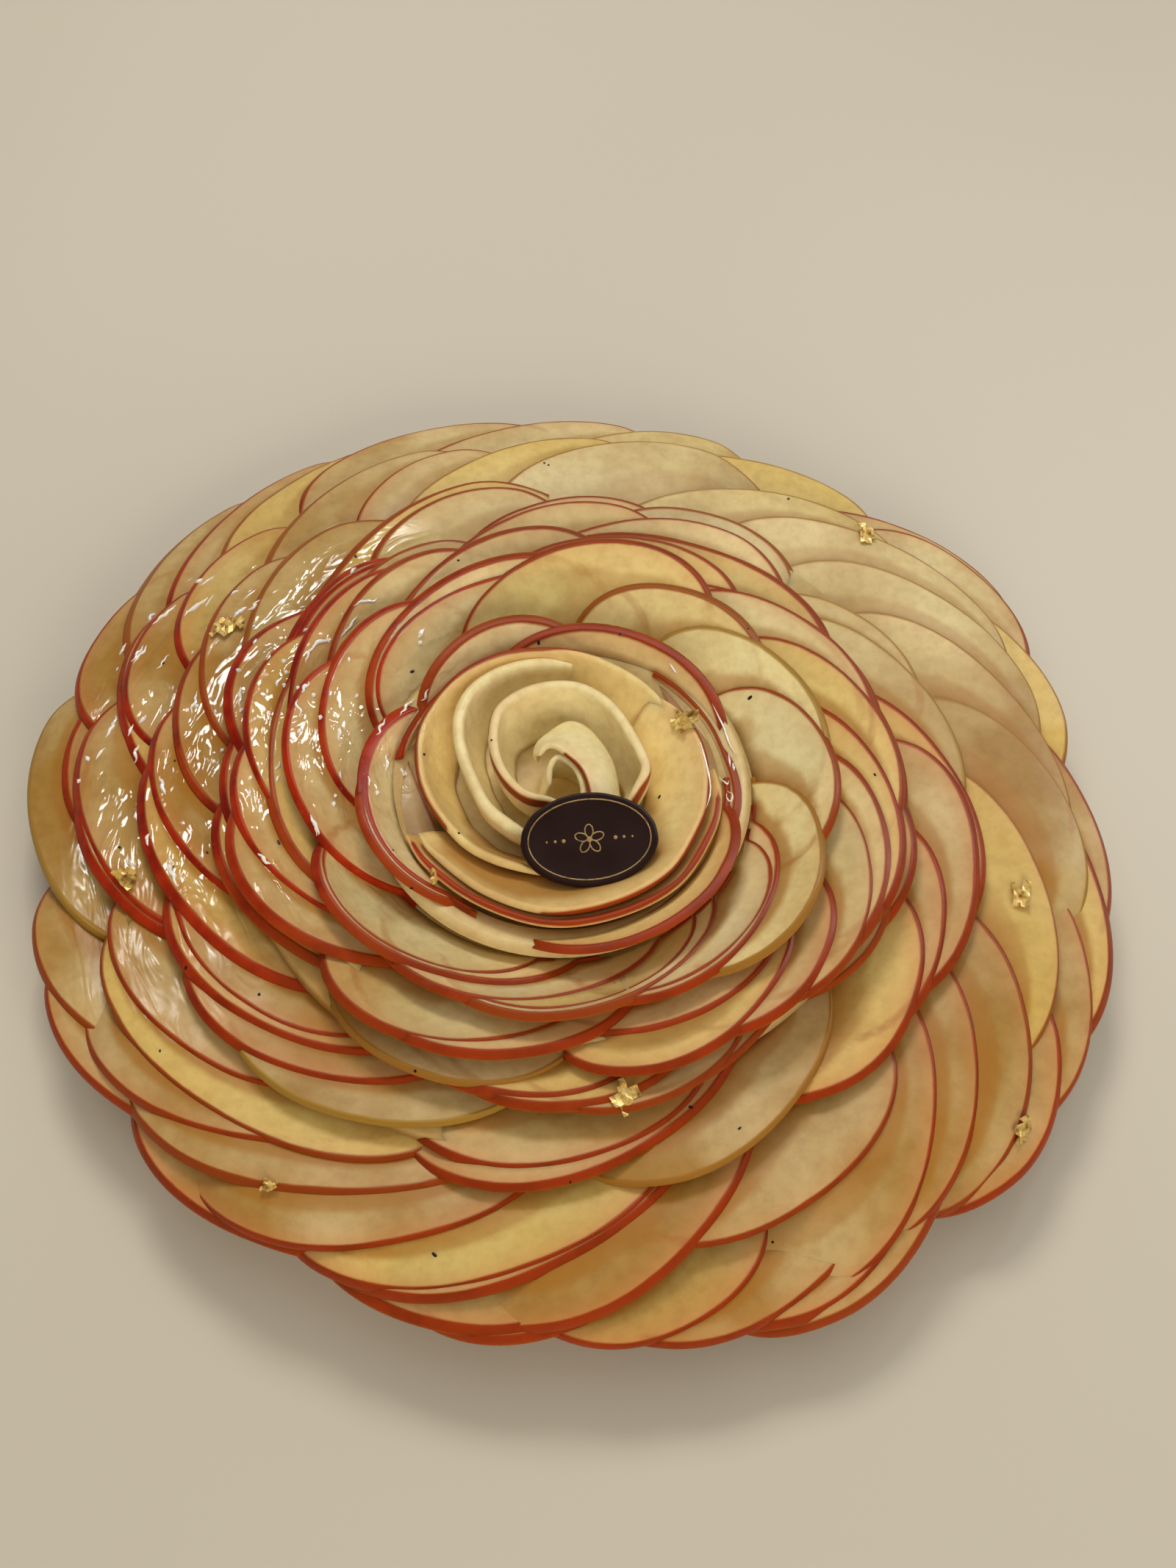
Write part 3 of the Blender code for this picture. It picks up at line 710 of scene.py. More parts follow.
def makeRings():
    tree = makeSliceTree()
    made = []
    for level in range(len(rings)):
        ring = slicePoints(level)
        sizes = ringSizes(level)
        grow(ring, tree, sizes)
        closeEnds(ring)
        body = marked(turnedPiece("core", ringCore(level), core["steps"], appleMaterial), core["marks"])
        body.data.transform(Matrix.Translation(Vector(sizes["centre"]) * mm))
        ring = joined(f"apple_ring_{level + 1}", [ring, body])
        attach(ring, "root")
        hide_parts(f"slice_ring_{level + 1}")
        made.append(ring)
        print("ring", level + 1, "has", len(ring.data.polygons), "faces")
    return made


ringPieces = makeRings()


# Bowl and bud: slices stood on edge and curled round one another. rim holds the points of the
# top edge; foot says how far towards the middle and how far down the lower edge lies, at a
# share of the way along; peel gives the width of the red line there. Where foot has no inward
# value the lower edge has points of its own.
bud = {
    "middle": (1.5, -1.5), "columns": 100, "wallRows": 12, "rimRows": 6,
    "wave": 0.5, "waveScale": 0.16, "endLength": 0.1, "endShare": 0.35, "endThin": 0.6,
    "hidden": 0.3,  # a red line narrower than this doesn't show
    "faint": 1.4,  # how far a slice without a red line is from having one
    "line": 0.16,
    "shade": 1.02, "shadeReach": 18,  # how much painted shade darkens the bowl's near side, and where it is darkest
    "deep": (0.45, 0.25),  # how much painted shade darkens the foot of a slice, in the bowl and in the bud
}
petals = [
    {"name": "apple_bowl", "thick": 1.5, "blush": 0.8, "tint": 0.9, "bulge": -0.3, "peelAt": -0.5,
     "rim": [
        (27.6, 1.0, 37.0), (28.2, -5.8, 38.3), (26.6, -13.5, 38.9), (20.4, -24.0, 39.0), (9.8, -30.2, 39.0),
        (-2.4, -32.0, 39.0), (-14.6, -27.6, 38.9), (-23.6, -20.0, 38.2), (-28.0, -13.0, 37.0)],
     "foot": [(0, 4, 5), (1, 4, 5)],
     "peel": [(0, 0), (0.2, 0.7), (0.5, 1.0), (0.8, 0.9), (1, 0.2)]},
    {"name": "apple_bowl", "thick": 1.6, "blush": 0.75, "tint": 0.8, "bulge": -0.5, "peelAt": 0.45,
     "rim": [
        (16.8, 15.4, 39.8), (21.2, 11.3, 40.4), (24.3, 5.9, 40.6), (25.7, 0.2, 40.6), (25.7, -5.8, 40.6),
        (24.4, -12.1, 40.6), (18.8, -22.1, 40.5), (9.2, -28.2, 40.4), (-2.2, -30.1, 40.2),
        (-13.5, -25.9, 39.8), (-22.6, -17.9, 39.2), (-25.5, -13.7, 38.6)],
     "foot": [(0, 9, 8), (0.3, 11, 8), (0.6, 12.5, 7), (1, 9, 7)],
     "peel": [(0, 0.2), (0.12, 1.1), (0.3, 0.8), (0.45, 0.9), (0.62, 1.0), (0.7, 0.3), (0.75, 0), (1, 0)]},
    {"name": "apple_bowl", "thick": 1.7, "blush": 0.62, "tint": 0.8, "bulge": 0.3, "peelAt": 0.6,
     "rim": [
        (-2.7, -22.0, 38.6), (-7.0, -21.2, 39.4), (-12.3, -19.5, 39.9), (-16.7, -17.0, 40.2),
        (-20.1, -13.3, 40.4), (-23.0, -9.0, 40.5), (-25.2, -3.8, 40.5), (-26.1, 2.2, 40.5),
        (-25.6, 7.9, 40.5), (-23.4, 13.1, 40.5), (-19.4, 18.8, 40.6), (-14.3, 22.4, 40.7),
        (-8.7, 24.3, 40.8), (-1.7, 24.7, 40.8), (3.2, 23.9, 40.7), (8.5, 21.5, 40.6),
        (13.0, 18.6, 40.5), (16.8, 15.2, 40.1), (20.1, 11.3, 39.4)],
     "foot": [(0, 5, 6), (0.2, 5.5, 9), (0.5, 6, 9.5), (1, 6, 8)],
     "peel": [(0, 0), (0.17, 0), (0.22, 0.5), (0.42, 1.0), (0.5, 1.6), (0.58, 2.4), (0.72, 2.2), (0.78, 1.2),
              (0.83, 0), (1, 0)]},
    {"name": "apple_bud_1", "thick": 2.3, "blush": 0.3, "tint": 0.5, "bulge": 0.8, "peelAt": 0.9,
     "rim": [
        (-5.4, -15.0, 38.4), (-6.7, -14.1, 39.0), (-10.1, -12.1, 39.8), (-13.5, -9.0, 40.2),
        (-15.8, -4.6, 40.5), (-17.9, 1.0, 40.5), (-19.0, 6.3, 40.5), (-18.8, 11.3, 40.5),
        (-16.9, 15.8, 40.4), (-13.1, 19.4, 40.3), (-8.6, 21.5, 40.2), (-3.8, 22.4, 40.0), (1.8, 22.2, 39.6)],
     "foot": [(0, 3, 8), (0.5, 4, 10), (1, 4, 9)],
     "peel": [(0, 0), (1, 0)]},
    {"name": "apple_bud_2", "thick": 1.9, "blush": 0.6, "tint": 0.4, "bulge": 1.0, "peelAt": 1.3,
     "rim": [
        (-0.1, -8.7, 40.4), (-2.1, -8.1, 41.0), (-6.1, -7.5, 41.6), (-9.5, -4.7, 42.0), (-11.8, -0.3, 42.2),
        (-12.6, 4.9, 42.2), (-11.7, 10.2, 42.2), (-8.5, 13.6, 42.2), (-3.7, 15.7, 42.2), (1.9, 15.9, 42.2),
        (6.3, 13.8, 42.2), (9.8, 10.2, 42.1), (12.5, 5.3, 42.0), (14.3, 1.3, 41.9), (15.1, -2.3, 41.8),
        (13.0, -7.1, 41.4), (10.6, -11.1, 40.8)],
     "foot": [(0, 3, 10), (0.5, 4, 11), (1, 3, 10)],
     "peel": [(0, 1.1), (0.14, 0.9), (0.2, 0.6), (0.25, 0.2), (0.33, 0.5), (0.45, 0.7), (0.5, 0), (0.8, 0),
              (0.87, 0.4), (0.92, 1.6), (1, 2.2)]},
    {"name": "apple_bud_3", "thick": 1.2, "blush": 0.5, "tint": 0.2, "bulge": 0.9, "peelAt": -0.2,
     "rim": [
        (6.0, -12.8, 42.4), (5.4, -8.5, 43.0), (4.6, -5.0, 43.2), (3.3, -2.2, 43.3), (0.9, 0.4, 43.3),
        (-1.3, 2.2, 43.1), (-3.0, 2.4, 42.6), (-4.2, 1.0, 41.8)],
     "lower": [
        (10.3, -11.3, 38.5), (10.2, -6.6, 38.5), (9.7, -1.4, 38.5), (8.4, 3.0, 38.5), (5.0, 8.8, 38.0),
        (0.8, 10.8, 37.5), (-3.3, 7.9, 36.5), (-5.1, 3.0, 35.5)],
     "peel": [(0, 0.6), (0.6, 0.6), (0.75, 0.2), (1, 0)]},
    {"name": "apple_bud_4", "thick": 1.1, "blush": 0.4, "tint": 0.4, "bulge": 0.4, "peelAt": 0,
     "rim": [
        (-2.3, -4.4, 40.2), (-2.2, -1.2, 41.2), (-0.8, 0.8, 41.6), (1.2, -0.4, 41.8), (2.9, -2.8, 41.8),
        (3.8, -6.4, 41.6), (3.3, -10.8, 41.0)],
     "lower": [
        (-3.4, -6.4, 33), (-3.6, -2.2, 33), (-1.6, 2.0, 33), (2.2, 1.4, 33), (5.0, -2.2, 33), (6.0, -6.4, 33),
        (5.4, -11.0, 33)],
     "peel": [(0, 0), (1, 0)]},
]
bowl = {"radius": 22.5, "top": 31.2, "middle": 30.6, "base": 28.9, "steps": 64}
budNodes = {"apple_bowl": ("slice_ring_8", "apple"),
            **{f"apple_bud_{number}": (f"bud_slice_{number}", "bud") for number in range(1, 5)}}


def smoothPath(points, count):
    # evenly spaced points of the smooth curve through the ones given
    points = [Vector(point) for point in points]
    ends = [2 * points[0] - points[1], *points, 2 * points[-1] - points[-2]]
    fine = []
    for before, first, second, after in zip(ends, ends[1:], ends[2:], ends[3:]):
        for step in range(12):
            t = step / 12
            fine.append(0.5 * (2 * first + (second - before) * t
                               + (2 * before - 5 * first + 4 * second - after) * t ** 2
                               + (3 * first - before - 3 * second + after) * t ** 3))
    fine.append(points[-1])
    lengths = [0]
    for first, second in zip(fine, fine[1:]):
        lengths.append(lengths[-1] + (second - first).length)
    path = []
    spot = 0
    for step in range(count + 1):
        wanted = lengths[-1] * step / count
        while spot < len(fine) - 2 and lengths[spot + 1] < wanted:
            spot += 1
        span = max(lengths[spot + 1] - lengths[spot], 1e-9)
        path.append(fine[spot].lerp(fine[spot + 1], (wanted - lengths[spot]) / span))
    return path


def between(table, share):
    # the values of a table of shares and values at one share, in straight runs
    for first, second in zip(table, table[1:]):
        if share <= second[0]:
            part = (share - first[0]) / (second[0] - first[0])
            return [a + (b - a) * part for a, b in zip(first[1:], second[1:])]
    return list(table[-1][1:])


def lowerEdge(petal, rim):
    if "lower" in petal:
        return smoothPath(petal["lower"], bud["columns"])
    middle = Vector((*bud["middle"], 0))
    foot = []
    for step, point in enumerate(rim):
        inward, drop = between(petal["foot"], step / bud["columns"])
        away = Vector((point.x, point.y, 0)) - middle
        away.normalize()
        foot.append(point - away * inward - Vector((0, 0, drop)))
    return foot


def petalSection(petal, rim, foot, tangent, side, share):
    # points round one section of a petal, how far round from the crest each lies, and how deep
    end = max(0, 1 - min(share, 1 - share) / bud["endLength"]) ** 2  # 1 at a petal's two ends
    down = foot - rim
    normal = tangent.cross(down).normalized() * side
    down *= 1 - bud["endShare"] * end
    up = -down.normalized()
    half = petal["thick"] / 2 * (1 - bud["endThin"] * end)
    wave = noise.noise(rim * bud["waveScale"]) * bud["wave"]
    section = []
    rows = bud["wallRows"]
    for row in range(rows):
        v = 1 - row / rows
        out = petal["bulge"] * math.sin(math.pi * v) + wave * v + half
        section.append((rim + down * v + normal * out, -v * down.length - half, v))
    for row in range(bud["rimRows"] + 1):
        turn = math.pi * row / bud["rimRows"]
        section.append((rim + normal * (half * math.cos(turn)) + up * (half * math.sin(turn)),
                        (turn - math.pi / 2) * half, 0))
    for row in range(1, rows + 1):
        v = row / rows
        out = petal["bulge"] * math.sin(math.pi * v) + wave * v - half
        section.append((rim + down * v + normal * out, v * down.length + half, v))
    return section


def petalMesh(petal, number):
    columns = bud["columns"]
    rim = smoothPath(petal["rim"], columns)
    foot = lowerEdge(petal, rim)
    tangents = [rim[min(i + 1, columns)] - rim[max(i - 1, 0)] for i in range(columns + 1)]
    away = rim[columns // 2] - Vector((*bud["middle"], rim[columns // 2].z))
    side = math.copysign(1, tangents[columns // 2].cross(foot[columns // 2] - rim[columns // 2]).dot(away))
    isBowl = petal["name"] == "apple_bowl"
    bm = bmesh.new()
    layers = {name: bm.verts.layers.float.new(name) for name in core["marks"]}
    rows = []
    for i in range(columns + 1):
        share = i / columns
        width = between(petal["peel"], share)[0]
        off = bud["line"] * (width < bud["hidden"]) + bud["faint"] * max(0, 1 - width / bud["hidden"])
        row = []
        for point, place, deep in petalSection(petal, rim[i], foot[i], tangents[i], side, share):
            # painted shade on the bowl's near side, given through a made-up distance to the slice above
            near = min(max(-point.y / bud["shadeReach"], 0), 1)
            marks = {
                "edge": max(0, abs(place + petal["peelAt"]) - width / 2) + off,
                "blush": petal["blush"], "tint": petal["tint"], "ghost": core["marks"]["ghost"],
                "brim": 9 - 8 * near * bud["shade"] * isBowl,
                # painted shade, darker towards the foot of a slice
                "high": 1 - bud["deep"][not isBowl] * deep,
            }
            vert = bm.verts.new(point * mm)
            for name, value in marks.items():
                vert[layers[name]] = value
            row.append(vert)
        rows.append(row)
    for first, second in zip(rows, rows[1:]):
        for k in range(len(first)):
            following = (k + 1) % len(first)
            bm.faces.new((first[k], first[following], second[following], second[k]))
    half = len(rows[0]) // 2
    for row in (rows[0], rows[-1]):
        for k in range(half):
            corners = [row[k], row[k + 1], row[-k - 2], row[-k - 1]]
            bm.faces.new(list(dict.fromkeys(corners)))
    return solidObject(f"petal_{number}", bm, appleMaterial)


def bowlFloor():
    # the soft apple at the bottom of the bowl, which the bud's slices stand in
    radius, middle, base = bowl["radius"], bowl["middle"], bowl["base"]
    profile = [(0, middle), (radius * 0.6, middle), (radius, bowl["top"]), (radius, base), (0, base)]
    return marked(turnedPiece("bowl_floor", profile, bowl["steps"], appleMaterial), core["marks"])


def makeBud():
    parts = {name: [] for name in budNodes}
    for number, petal in enumerate(petals):
        parts[petal["name"]].append(petalMesh(petal, number))
    parts["apple_bowl"].append(bowlFloor())
    for name, (node, slot) in budNodes.items():
        piece = joined(name, parts[name])
        piece.data.name = name
        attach(piece, "root")
        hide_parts(node)
    print("bowl and bud made")
    return [bpy.data.objects[name] for name in budNodes]


budPieces = makeBud()


# Plaque: a thin oval of dark chocolate with a blossom, dots and a border in gold
plaque = {
    "length": 24.5, "width": 17, "thick": 1.8, "dish": 0.12, "steps": 120,
    "round": 0.05625,  # the rounded edge's share of the way from the rim to the middle
    "ragged": 0.012,
    "centre": (4.9, -17.0, 42.2), "lean": 22, "turn": 5,
    "dark": (32, 13, 9), "bloom": (46, 24, 18), "rough": 0.45, "gold": (176, 142, 92),
}
ornament = {
    "tube": 0.13, "around": 48, "section": 8,
    "border": (10.9, 7.2), "petals": 5, "petal": (1.15, 0.72), "petalOut": 1.5, "heart": 0.42,
    "firstDot": 4.6, "dotStep": 1.5, "dotSize": (0.36, 0.28, 0.2),
}


def plaquePlace():
    turned = Matrix.Rotation(math.radians(plaque["turn"]), 4, "Z")
    leant = Matrix.Rotation(math.radians(plaque["lean"]), 4, "X")
    return Matrix.Translation(Vector(plaque["centre"]) * mm) @ turned @ leant


def makePlaqueMaterials():
    chocolate, graph, plug, place = newMaterial("chocolate", {"Specular IOR Level": 0.25})
    clouds = graph.noise(place, 160, 3)
    fine = graph.noise(place, 1400, 2)
    plug("Base Color", graph.mixed(clouds.ramped(0.35, 0.75) * 0.4, plaque["dark"], plaque["bloom"]))
    plug("Roughness", clouds * 0.2 + (plaque["rough"] - 0.1))
    plug("Normal", graph.bump(clouds + fine * 0.3, 0.3, 0.1))
    gold, graph, plug, place = newMaterial("plaque_gold", {"Metallic": 0.3, "Roughness": 0.4})
    worn = graph.noise(place, 900, 2)
    plug("Base Color", graph.mixed(worn.ramped(0.5, 0.75) * 0.6, plaque["gold"], plaque["bloom"]))
    return chocolate, gold


def plaqueMesh(material):
    # a round with a rounded edge and a slightly sunk face, from under the middle to the top's middle,
    # which is then drawn out to the oval
    half = plaque["thick"] / 2
    sunk = half - plaque["dish"]
    rows = [(0, -half), (0.5, -half)]
    for turn in (-1.35, -1.0, -0.5, 0, 0.5, 1.0, 1.35):
        rows.append((1 - plaque["round"] * (1 - math.cos(turn)), math.sin(turn) * half))
    rows += [(0.93, half), (0.86, sunk), (0.5, sunk), (0, sunk)]
    piece = turnedPiece("chocolate_plaque", rows, plaque["steps"], material)
    for vert in piece.data.vertices:
        x, y = vert.co.x / mm, vert.co.y / mm
        ragged = 1 + plaque["ragged"] * noise.noise(Vector((x, y, 0)) * 4)
        vert.co.x = x * plaque["length"] / 2 * ragged * mm
        vert.co.y = y * plaque["width"] / 2 * ragged * mm
    return piece


def ovalTube(bm, centre, sizes, turn, tube):
    # a closed tube along an oval that lies flat
    laid = Matrix.Translation((*centre, 0)) @ Matrix.Rotation(turn, 4, "Z")
    rows = []
    for i in range(ornament["around"]):
        angle = 2 * math.pi * i / ornament["around"]
        row = []
        for k in range(ornament["section"]):
            out, up = polar(tube, 2 * math.pi * k / ornament["section"])
            spot = Vector(((sizes[0] + out) * math.cos(angle), (sizes[1] + out) * math.sin(angle), up))
            row.append(bm.verts.new(laid @ spot))
        rows.append(row)
    for i, row in enumerate(rows):
        following = rows[(i + 1) % len(rows)]
        for k in range(len(row)):
            bm.faces.new((row[k], following[k], following[(k + 1) % len(row)], row[(k + 1) % len(row)]))


def makePlaque():
    chocolate, gold = makePlaqueMaterials()
    piece = plaqueMesh(chocolate)
    bm = bmesh.new()
    ovalTube(bm, (0, 0), ornament["border"], 0, ornament["tube"])
    for number in range(ornament["petals"]):
        turn = math.pi / 2 + 2 * math.pi * number / ornament["petals"]
        ovalTube(bm, polar(ornament["petalOut"], turn), ornament["petal"], turn, ornament["tube"])
    spots = [(0, ornament["heart"])]
    for number, size in enumerate(ornament["dotSize"]):
        out = ornament["firstDot"] + number * ornament["dotStep"]
        spots += [(out, size), (-out, size)]
    for x, size in spots:
        dot = Matrix.Translation((x, 0, 0)) @ Matrix.Diagonal((size, size, ornament["tube"], 1))
        bmesh.ops.create_uvsphere(bm, u_segments=16, v_segments=8, radius=1, matrix=dot)
    lines = solidObject("plaque_ornament", bm, gold)
    top = plaque["thick"] / 2 - plaque["dish"]
    lines.data.transform(plaquePlace() @ Matrix.Translation((0, 0, top * mm)) @ Matrix.Scale(mm, 4))
    piece.data.transform(plaquePlace())
    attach(piece, "root")
    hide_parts("plaque")
    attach(lines, "root")
    print("plaque made")


makePlaque()


# Crust: the low pastry shell under the rose
crust = {
    "radius": 86, "height": 12, "edge": 1.6, "sunk": 0.2, "rows": 9, "steps": 220,
    "crag": 0.5, "cragScale": 180,  # how rough the side is, and how fine the roughness
    "light": (214, 162, 96), "brown": (164, 100, 46), "burnt": (112, 62, 26),
}


def makeCrust():
    material, graph, plug, place = newMaterial("pastry", {"Roughness": 0.75, "Specular IOR Level": 0.3})
    clouds = graph.noise(place, 60, 4, 0.6)
    crumb = graph.noise(place, 900, 3, 0.7)
    height = graph.node("ShaderNodeSeparateXYZ", None, [place]).out("Z") / (crust["height"] * mm)
    baked = graph.mixed(clouds.ramped(0.35, 0.7), crust["light"], crust["brown"])
    baked = graph.mixed(((height - 0.6) * 1.4 + (crumb - 0.5)).clamped() * 0.5, baked, crust["burnt"])
    plug("Base Color", baked)
    plug("Normal", graph.bump(crumb + clouds * 0.5, 0.7, 0.5))
    radius, height, edge = crust["radius"], crust["height"], crust["edge"]
    profile = [(0, height - crust["sunk"]), (radius * 0.9, height - crust["sunk"])]
    for turn in (0, 0.5, 1.05):
        profile.append((radius - edge * (1 - math.sin(turn)), height - edge * (1 - math.cos(turn))))
    for row in range(crust["rows"] + 1):
        profile.append((radius, height - edge - (height - 2 * edge) * row / crust["rows"]))
    for turn in (0.5, 1.05):
        profile.append((radius - edge * (1 - math.cos(turn)), edge * (1 - math.sin(turn))))
    profile += [(radius - edge, 0), (0, 0)]
    piece = turnedPiece("tart_crust", profile, crust["steps"], material)
    for vert in piece.data.vertices:
        spread = math.hypot(vert.co.x, vert.co.y) / mm
        if spread > radius * 0.95 and vert.co.z > 0.5 * mm:
            crag = noise.noise(vert.co * crust["cragScale"]) * crust["crag"] - crust["crag"] / 2
            vert.co.x *= 1 + crag / spread
            vert.co.y *= 1 + crag / spread
    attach(piece, "root")
    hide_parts("crust")
    print("crust made")


makeCrust()


# Gold leaf, which lies crumpled on the slices
leaf = {
    "seed": 5, "cells": 8, "size": (9, 11), "narrow": (0.6, 0.9), "cover": 0.85, "ragged": 0.7,
    "crumple": 0.75, "fold": 1.3, "thick": 0.07, "lift": 0.5,
    # shade and pale are painted shade and painted highlights on the crumpled leaf
    "gold": (242, 206, 118), "shade": (148, 98, 28), "pale": (255, 242, 196),
    # distance from the middle, bearing, and share of the full size
    "places": [(77, 149, 0.9), (82, 190, 0.9), (90, 48, 0.9), (86, 348, 1), (63, 280, 0.9), (89, 236, 0.5),
               (101, 323, 0.8), (24.2, 21, 0.8), (31.5, 225, 0.4)],
}


def topOf(x, y):
    # the highest point of the slices over a place, and the way that it faces
    best = None
    for piece in [*ringPieces, *budPieces]:
        hit, place, normal, _ = piece.ray_cast(Vector((x, y, 100)) * mm, Vector((0, 0, -1)))
        if hit and (best is None or place.z > best[0].z):
            best = (place, normal)
    return best


def goldFlake(bm, chance, distance, bearing, share):
    # a ragged crumpled sheet, laid on the slice below it
    place, normal = topOf(*polar(distance, math.radians(bearing)))
    turned = normal.to_track_quat("Z", "Y").to_matrix().to_4x4()
    spun = Matrix.Rotation(chance.uniform(0, 6.28), 4, "Z") @ Matrix.Scale(mm, 4)
    laid = Matrix.Translation(place) @ turned @ spun
    length = chance.uniform(*leaf["size"]) * share
    width = length * chance.uniform(*leaf["narrow"])
    shift = Vector((chance.uniform(0, 50), chance.uniform(0, 50), 0))
    cells = leaf["cells"]
    grid = {}
    for i in range(cells + 1):
        for j in range(cells + 1):
            u, v = 2 * i / cells - 1, 2 * j / cells - 1
            spot = Vector((u * 1.3, v * 1.3, 0)) + shift
            if math.hypot(u, v) < leaf["cover"] + leaf["ragged"] * noise.noise(spot * 2.1):
                crease = abs(noise.noise(spot * 1.5)) * leaf["fold"]
                height = leaf["lift"] + crease + noise.noise(spot * 3.4) * leaf["crumple"]
                grid[i, j] = bm.verts.new(laid @ Vector((u * length / 2, v * width / 2, height)))
    for i, j in grid:
        corners = [grid.get(key) for key in ((i, j), (i + 1, j), (i + 1, j + 1), (i, j + 1))]
        if all(corners):
            bm.faces.new(corners)


def makeLeaf():
    material, graph, plug, place = newMaterial("gold_leaf", {"Metallic": 0.35, "Specular IOR Level": 0.7})
    clouds = graph.noise(place, 700, 3, 0.6)
    # painted shade and painted highlights, strewn by noise over the gold
    gold = graph.mixed(clouds.ramped(0.3, 0.6), leaf["shade"], leaf["gold"])
    plug("Base Color", graph.mixed(clouds.ramped(0.58, 0.75), gold, leaf["pale"]))
    plug("Roughness", clouds * 0.3 + 0.18)
    plug("Normal", graph.bump(clouds, 0.6, 0.2))
    chance = random.Random(leaf["seed"])
    bm = bmesh.new()
    for distance, bearing, share in leaf["places"]:
        goldFlake(bm, chance, distance, bearing, share)
    bmesh.ops.delete(bm, geom=[vert for vert in bm.verts if not vert.link_faces], context="VERTS")
    piece = solidObject("gold_leaf", bm, material)
    solid = piece.modifiers.new("Thickness", "SOLIDIFY")
    solid.thickness = leaf["thick"] * mm
    settle(piece)
    piece.data.shade_flat()
    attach(piece, "root")
    print("gold leaf made")


# Glaze that stands in threads, coloured near white as painted highlights, and with a clear coat that
# catches the light: the long ones as places seen from above, the short ones strewn over the wet side
glaze = {
    "seed": 4, "count": 100, "middle": (-60, 20), "reach": (36, 40), "long": (1.0, 6.5), "girth": (0.2, 0.5),
    "wander": 0.7, "slant": 0.22, "steps": 12, "lift": 0.04, "drop": 0.7, "jump": 0.45, "section": 8,
    # near white, for painted highlights
    "colour": (255, 242, 224),
    "threads": [
        [(27.7, 15.1), (28.7, 12.9), (29.6, 10.7), (30.2, 8.4), (30.8, 6.3), (31.7, 4.4)],
        [(30.5, 5.0), (30.6, 3.4), (30.7, 1.8)], [(31.2, 2.8), (31.3, 1.8), (31.4, 0.9)],
        [(28.6, -0.1), (29.4, -1.3), (30.0, -2.1), (30.4, -1.0)],
        [(30.0, -3.5), (30.8, -3.8), (30.9, -4.8), (30.6, -5.5), (29.9, -5.1), (29.8, -4.1)],
        [(20.0, 23.8), (20.7, 22.7), (21.2, 22.0)], [(14.9, 21.3), (15.7, 20.3)],
        [(24.9, 4.9), (25.5, 2.3), (26.2, -1.3), (26.7, -4.9), (26.4, -7.6), (25.7, -9.9)],
    ],
}


def laidPath(path, drop):
    # the path's points put on whatever is highest there, or nothing where that steps
    heights = [topOf(point.x, point.y)[0].z / mm for point in path]
    if max(abs(a - b) for a, b in zip(heights, heights[1:])) > drop:
        return None
    for point, height in zip(path, heights):
        point.z = max(height, max(heights) - glaze["drop"]) + glaze["lift"]
    return path


def glazePaths():
    chance = random.Random(glaze["seed"])
    paths = []
    for thread in glaze["threads"]:
        path = smoothPath([(x, y, 0) for x, y in thread], glaze["steps"])
        paths.append((laidPath(path, math.inf), glaze["girth"][0]))
    (middleX, middleY), (reachX, reachY), (short, longest) = glaze["middle"], glaze["reach"], glaze["long"]
    while len(paths) < glaze["count"]:
        turn, out = chance.uniform(0, 2 * math.pi), chance.random() ** 0.5
        across, away = polar(out, turn)
        middle = Vector((middleX + reachX * across, middleY + reachY * away, 0))
        long = short + (longest - short) * chance.random() ** 2.5
        way = Vector((-middle.y, middle.x, 0)).normalized()
        way = Matrix.Rotation(chance.gauss(0, glaze["slant"]), 3, "Z") @ way
        side = Vector((-way.y, way.x, 0))
        path = [middle + way * (long * (step / glaze["steps"] - 0.5)) for step in range(glaze["steps"] + 1)]
        wander = glaze["wander"] * min(long / 3, 1)
        path = [point + side * (noise.noise(point * 0.7) * wander) for point in path]
        if laidPath(path, glaze["jump"]):
            paths.append((path, chance.uniform(*glaze["girth"])))
    return paths


def makeGlazeTree():
    # sweeps a round section along each line, as wide as the line's own girth says
    graph, size = newTree("glaze", {"Sides": "Int", "Material": "Material"})
    line = graph.node("GeometryNodeMeshToCurve", None, {"Mesh": size["Geometry"]})
    sizes = {"Resolution": size["Sides"], "Radius": mm}
    section = graph.node("GeometryNodeCurvePrimitiveCircle", None, sizes)
    sizes = {"Curve": line, "Profile Curve": section, "Scale": named(graph, "girth"), "Fill Caps": True}
    swept = graph.node("GeometryNodeCurveToMesh", None, sizes)
    swept = graph.node("GeometryNodeSetShadeSmooth", None, [swept])
    return closeTree(graph, swept, size["Material"])


def makeGlaze():
    material, graph, plug, place = newMaterial("glaze", {"Coat Weight": 1.0, "Coat Roughness": 0.05})
    clouds = graph.noise(place, 500).ramped(0.3, 0.7)
    # painted highlights: the threads are near white, besides the glints of their clear coat
    plug("Base Color", graph.mixed(clouds, glaze["colour"], (255, 255, 255)))
    plug("Roughness", graph.noise(place, 900) * 0.2 + 0.05)
    spots, links, girths = [], [], []
    for path, girth in glazePaths():
        for step, point in enumerate(path):
            if step:
                links.append((len(spots) - 1, len(spots)))
            spots.append(point * mm)
            swelling = 0.1 + 0.9 * math.sin(math.pi * step / (len(path) - 1))
            girths.append(girth * swelling * (1 + 0.5 * noise.noise(point * 2)))
    mesh = bpy.data.meshes.new("glaze_glint_threads")
    mesh.from_pydata(spots, links, [])
    mesh.attributes.new("girth", "FLOAT", "POINT").data.foreach_set("value", girths)
    piece = newObject("glaze_glint_threads", mesh)
    grow(piece, makeGlazeTree(), {"Sides": glaze["section"], "Material": material})
    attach(piece, "root")
    print("glaze made")


# Small dark grains, one on each of the points strewn over the slices
specks = {
    "seed": 12, "count": 34, "size": (0.45, 0.7), "long": (1.0, 2.0), "colour": (24, 14, 10), "reach": 92,
}


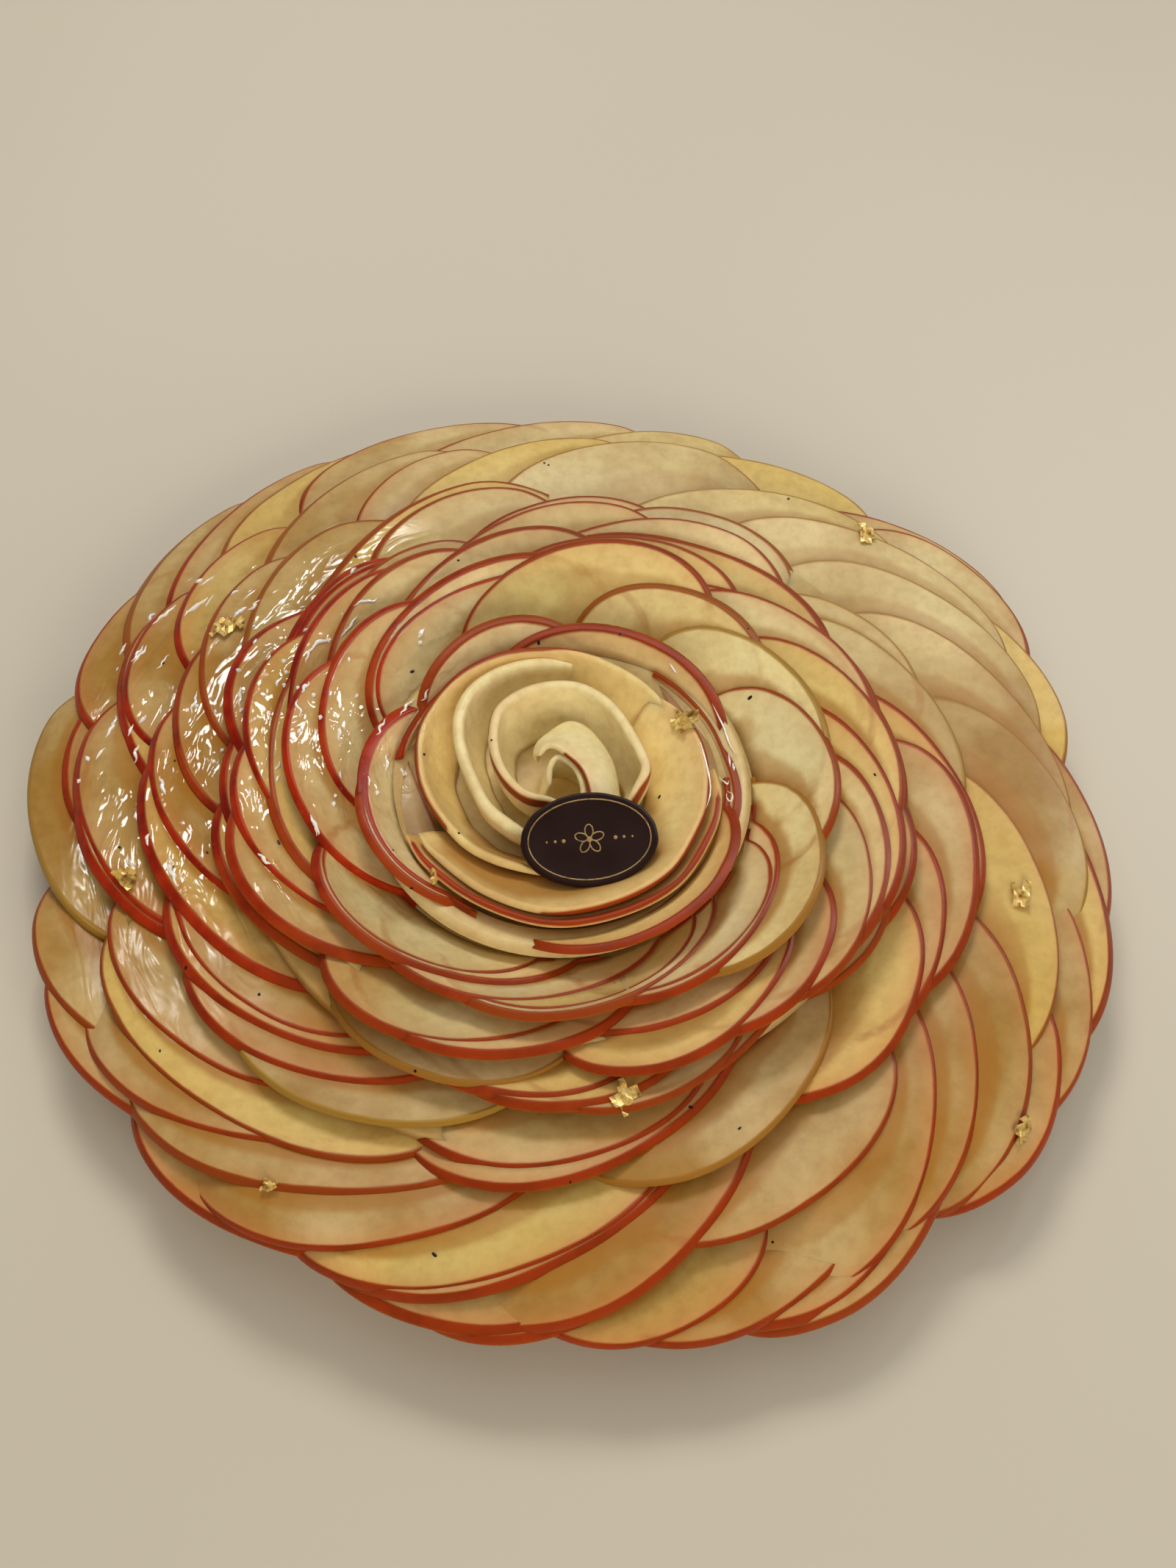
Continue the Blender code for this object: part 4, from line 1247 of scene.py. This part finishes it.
def makeSpecks():
    material, graph, plug, place = newMaterial("speck", {"Roughness": 0.5})
    plug("Base Color", graph.mixed(graph.noise(place, 900), specks["colour"], (0, 0, 0)))
    chance = random.Random(specks["seed"])
    spots = []
    while len(spots) < specks["count"]:
        x, y = chance.uniform(-1, 1) * specks["reach"], chance.uniform(-1, 1) * specks["reach"]
        found = topOf(x, y) if math.hypot(x, y) < specks["reach"] else None
        if found:
            spots.append(found)
    mesh = bpy.data.meshes.new("specks")
    mesh.from_pydata([place for place, way in spots], [], [])
    ways = mesh.attributes.new("way", "FLOAT_VECTOR", "POINT")
    ways.data.foreach_set("vector", [part for place, way in spots for part in way])
    piece = newObject("specks", mesh)
    graph, size = newTree("specks", {
        **dict.fromkeys(("Smallest", "Largest", "Shortest", "Longest"), "Float"), "Seed": "Int",
        "Material": "Material",
    })
    grain = graph.node("GeometryNodeMeshIcoSphere", None, {"Radius": 0.5, "Subdivisions": 1})

    def chosen(low, high, shift):
        return graph.node("FunctionNodeRandomValue", {"data_type": "FLOAT"},
                          {2: low, 3: high, "Seed": size["Seed"] + shift}).out(1)

    way = graph.node("GeometryNodeInputNamedAttribute", {"data_type": "FLOAT_VECTOR"}, {"Name": "way"})
    upright = graph.node("FunctionNodeAlignRotationToVector", {"axis": "Z"}, {"Vector": way})
    spin = {"Axis": (0, 0, 1), "Angle": chosen(0.0, 6.28, 0)}
    spin = graph.node("FunctionNodeAxisAngleToRotation", None, spin)
    turned = graph.node("FunctionNodeRotateRotation", {"rotation_space": "LOCAL"},
                        {"Rotation": upright, "Rotate By": spin})
    girth = chosen(size["Smallest"], size["Largest"], 1)
    long = chosen(size["Shortest"], size["Longest"], 2)
    scale = graph.vector("MULTIPLY", graph.xyz(girth * long, girth, girth * 0.5), (mm, mm, mm))
    laid = graph.node("GeometryNodeInstanceOnPoints", None,
                      {"Points": size["Geometry"], "Instance": grain, "Rotation": turned, "Scale": scale})
    grow(piece, closeTree(graph, laid, size["Material"]), {
        "Smallest": specks["size"][0], "Largest": specks["size"][1],
        "Shortest": specks["long"][0], "Longest": specks["long"][1],
        "Seed": specks["seed"], "Material": material,
    })
    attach(piece, "root")
    print("specks made")


makeLeaf()
makeSpecks()
makeGlaze()
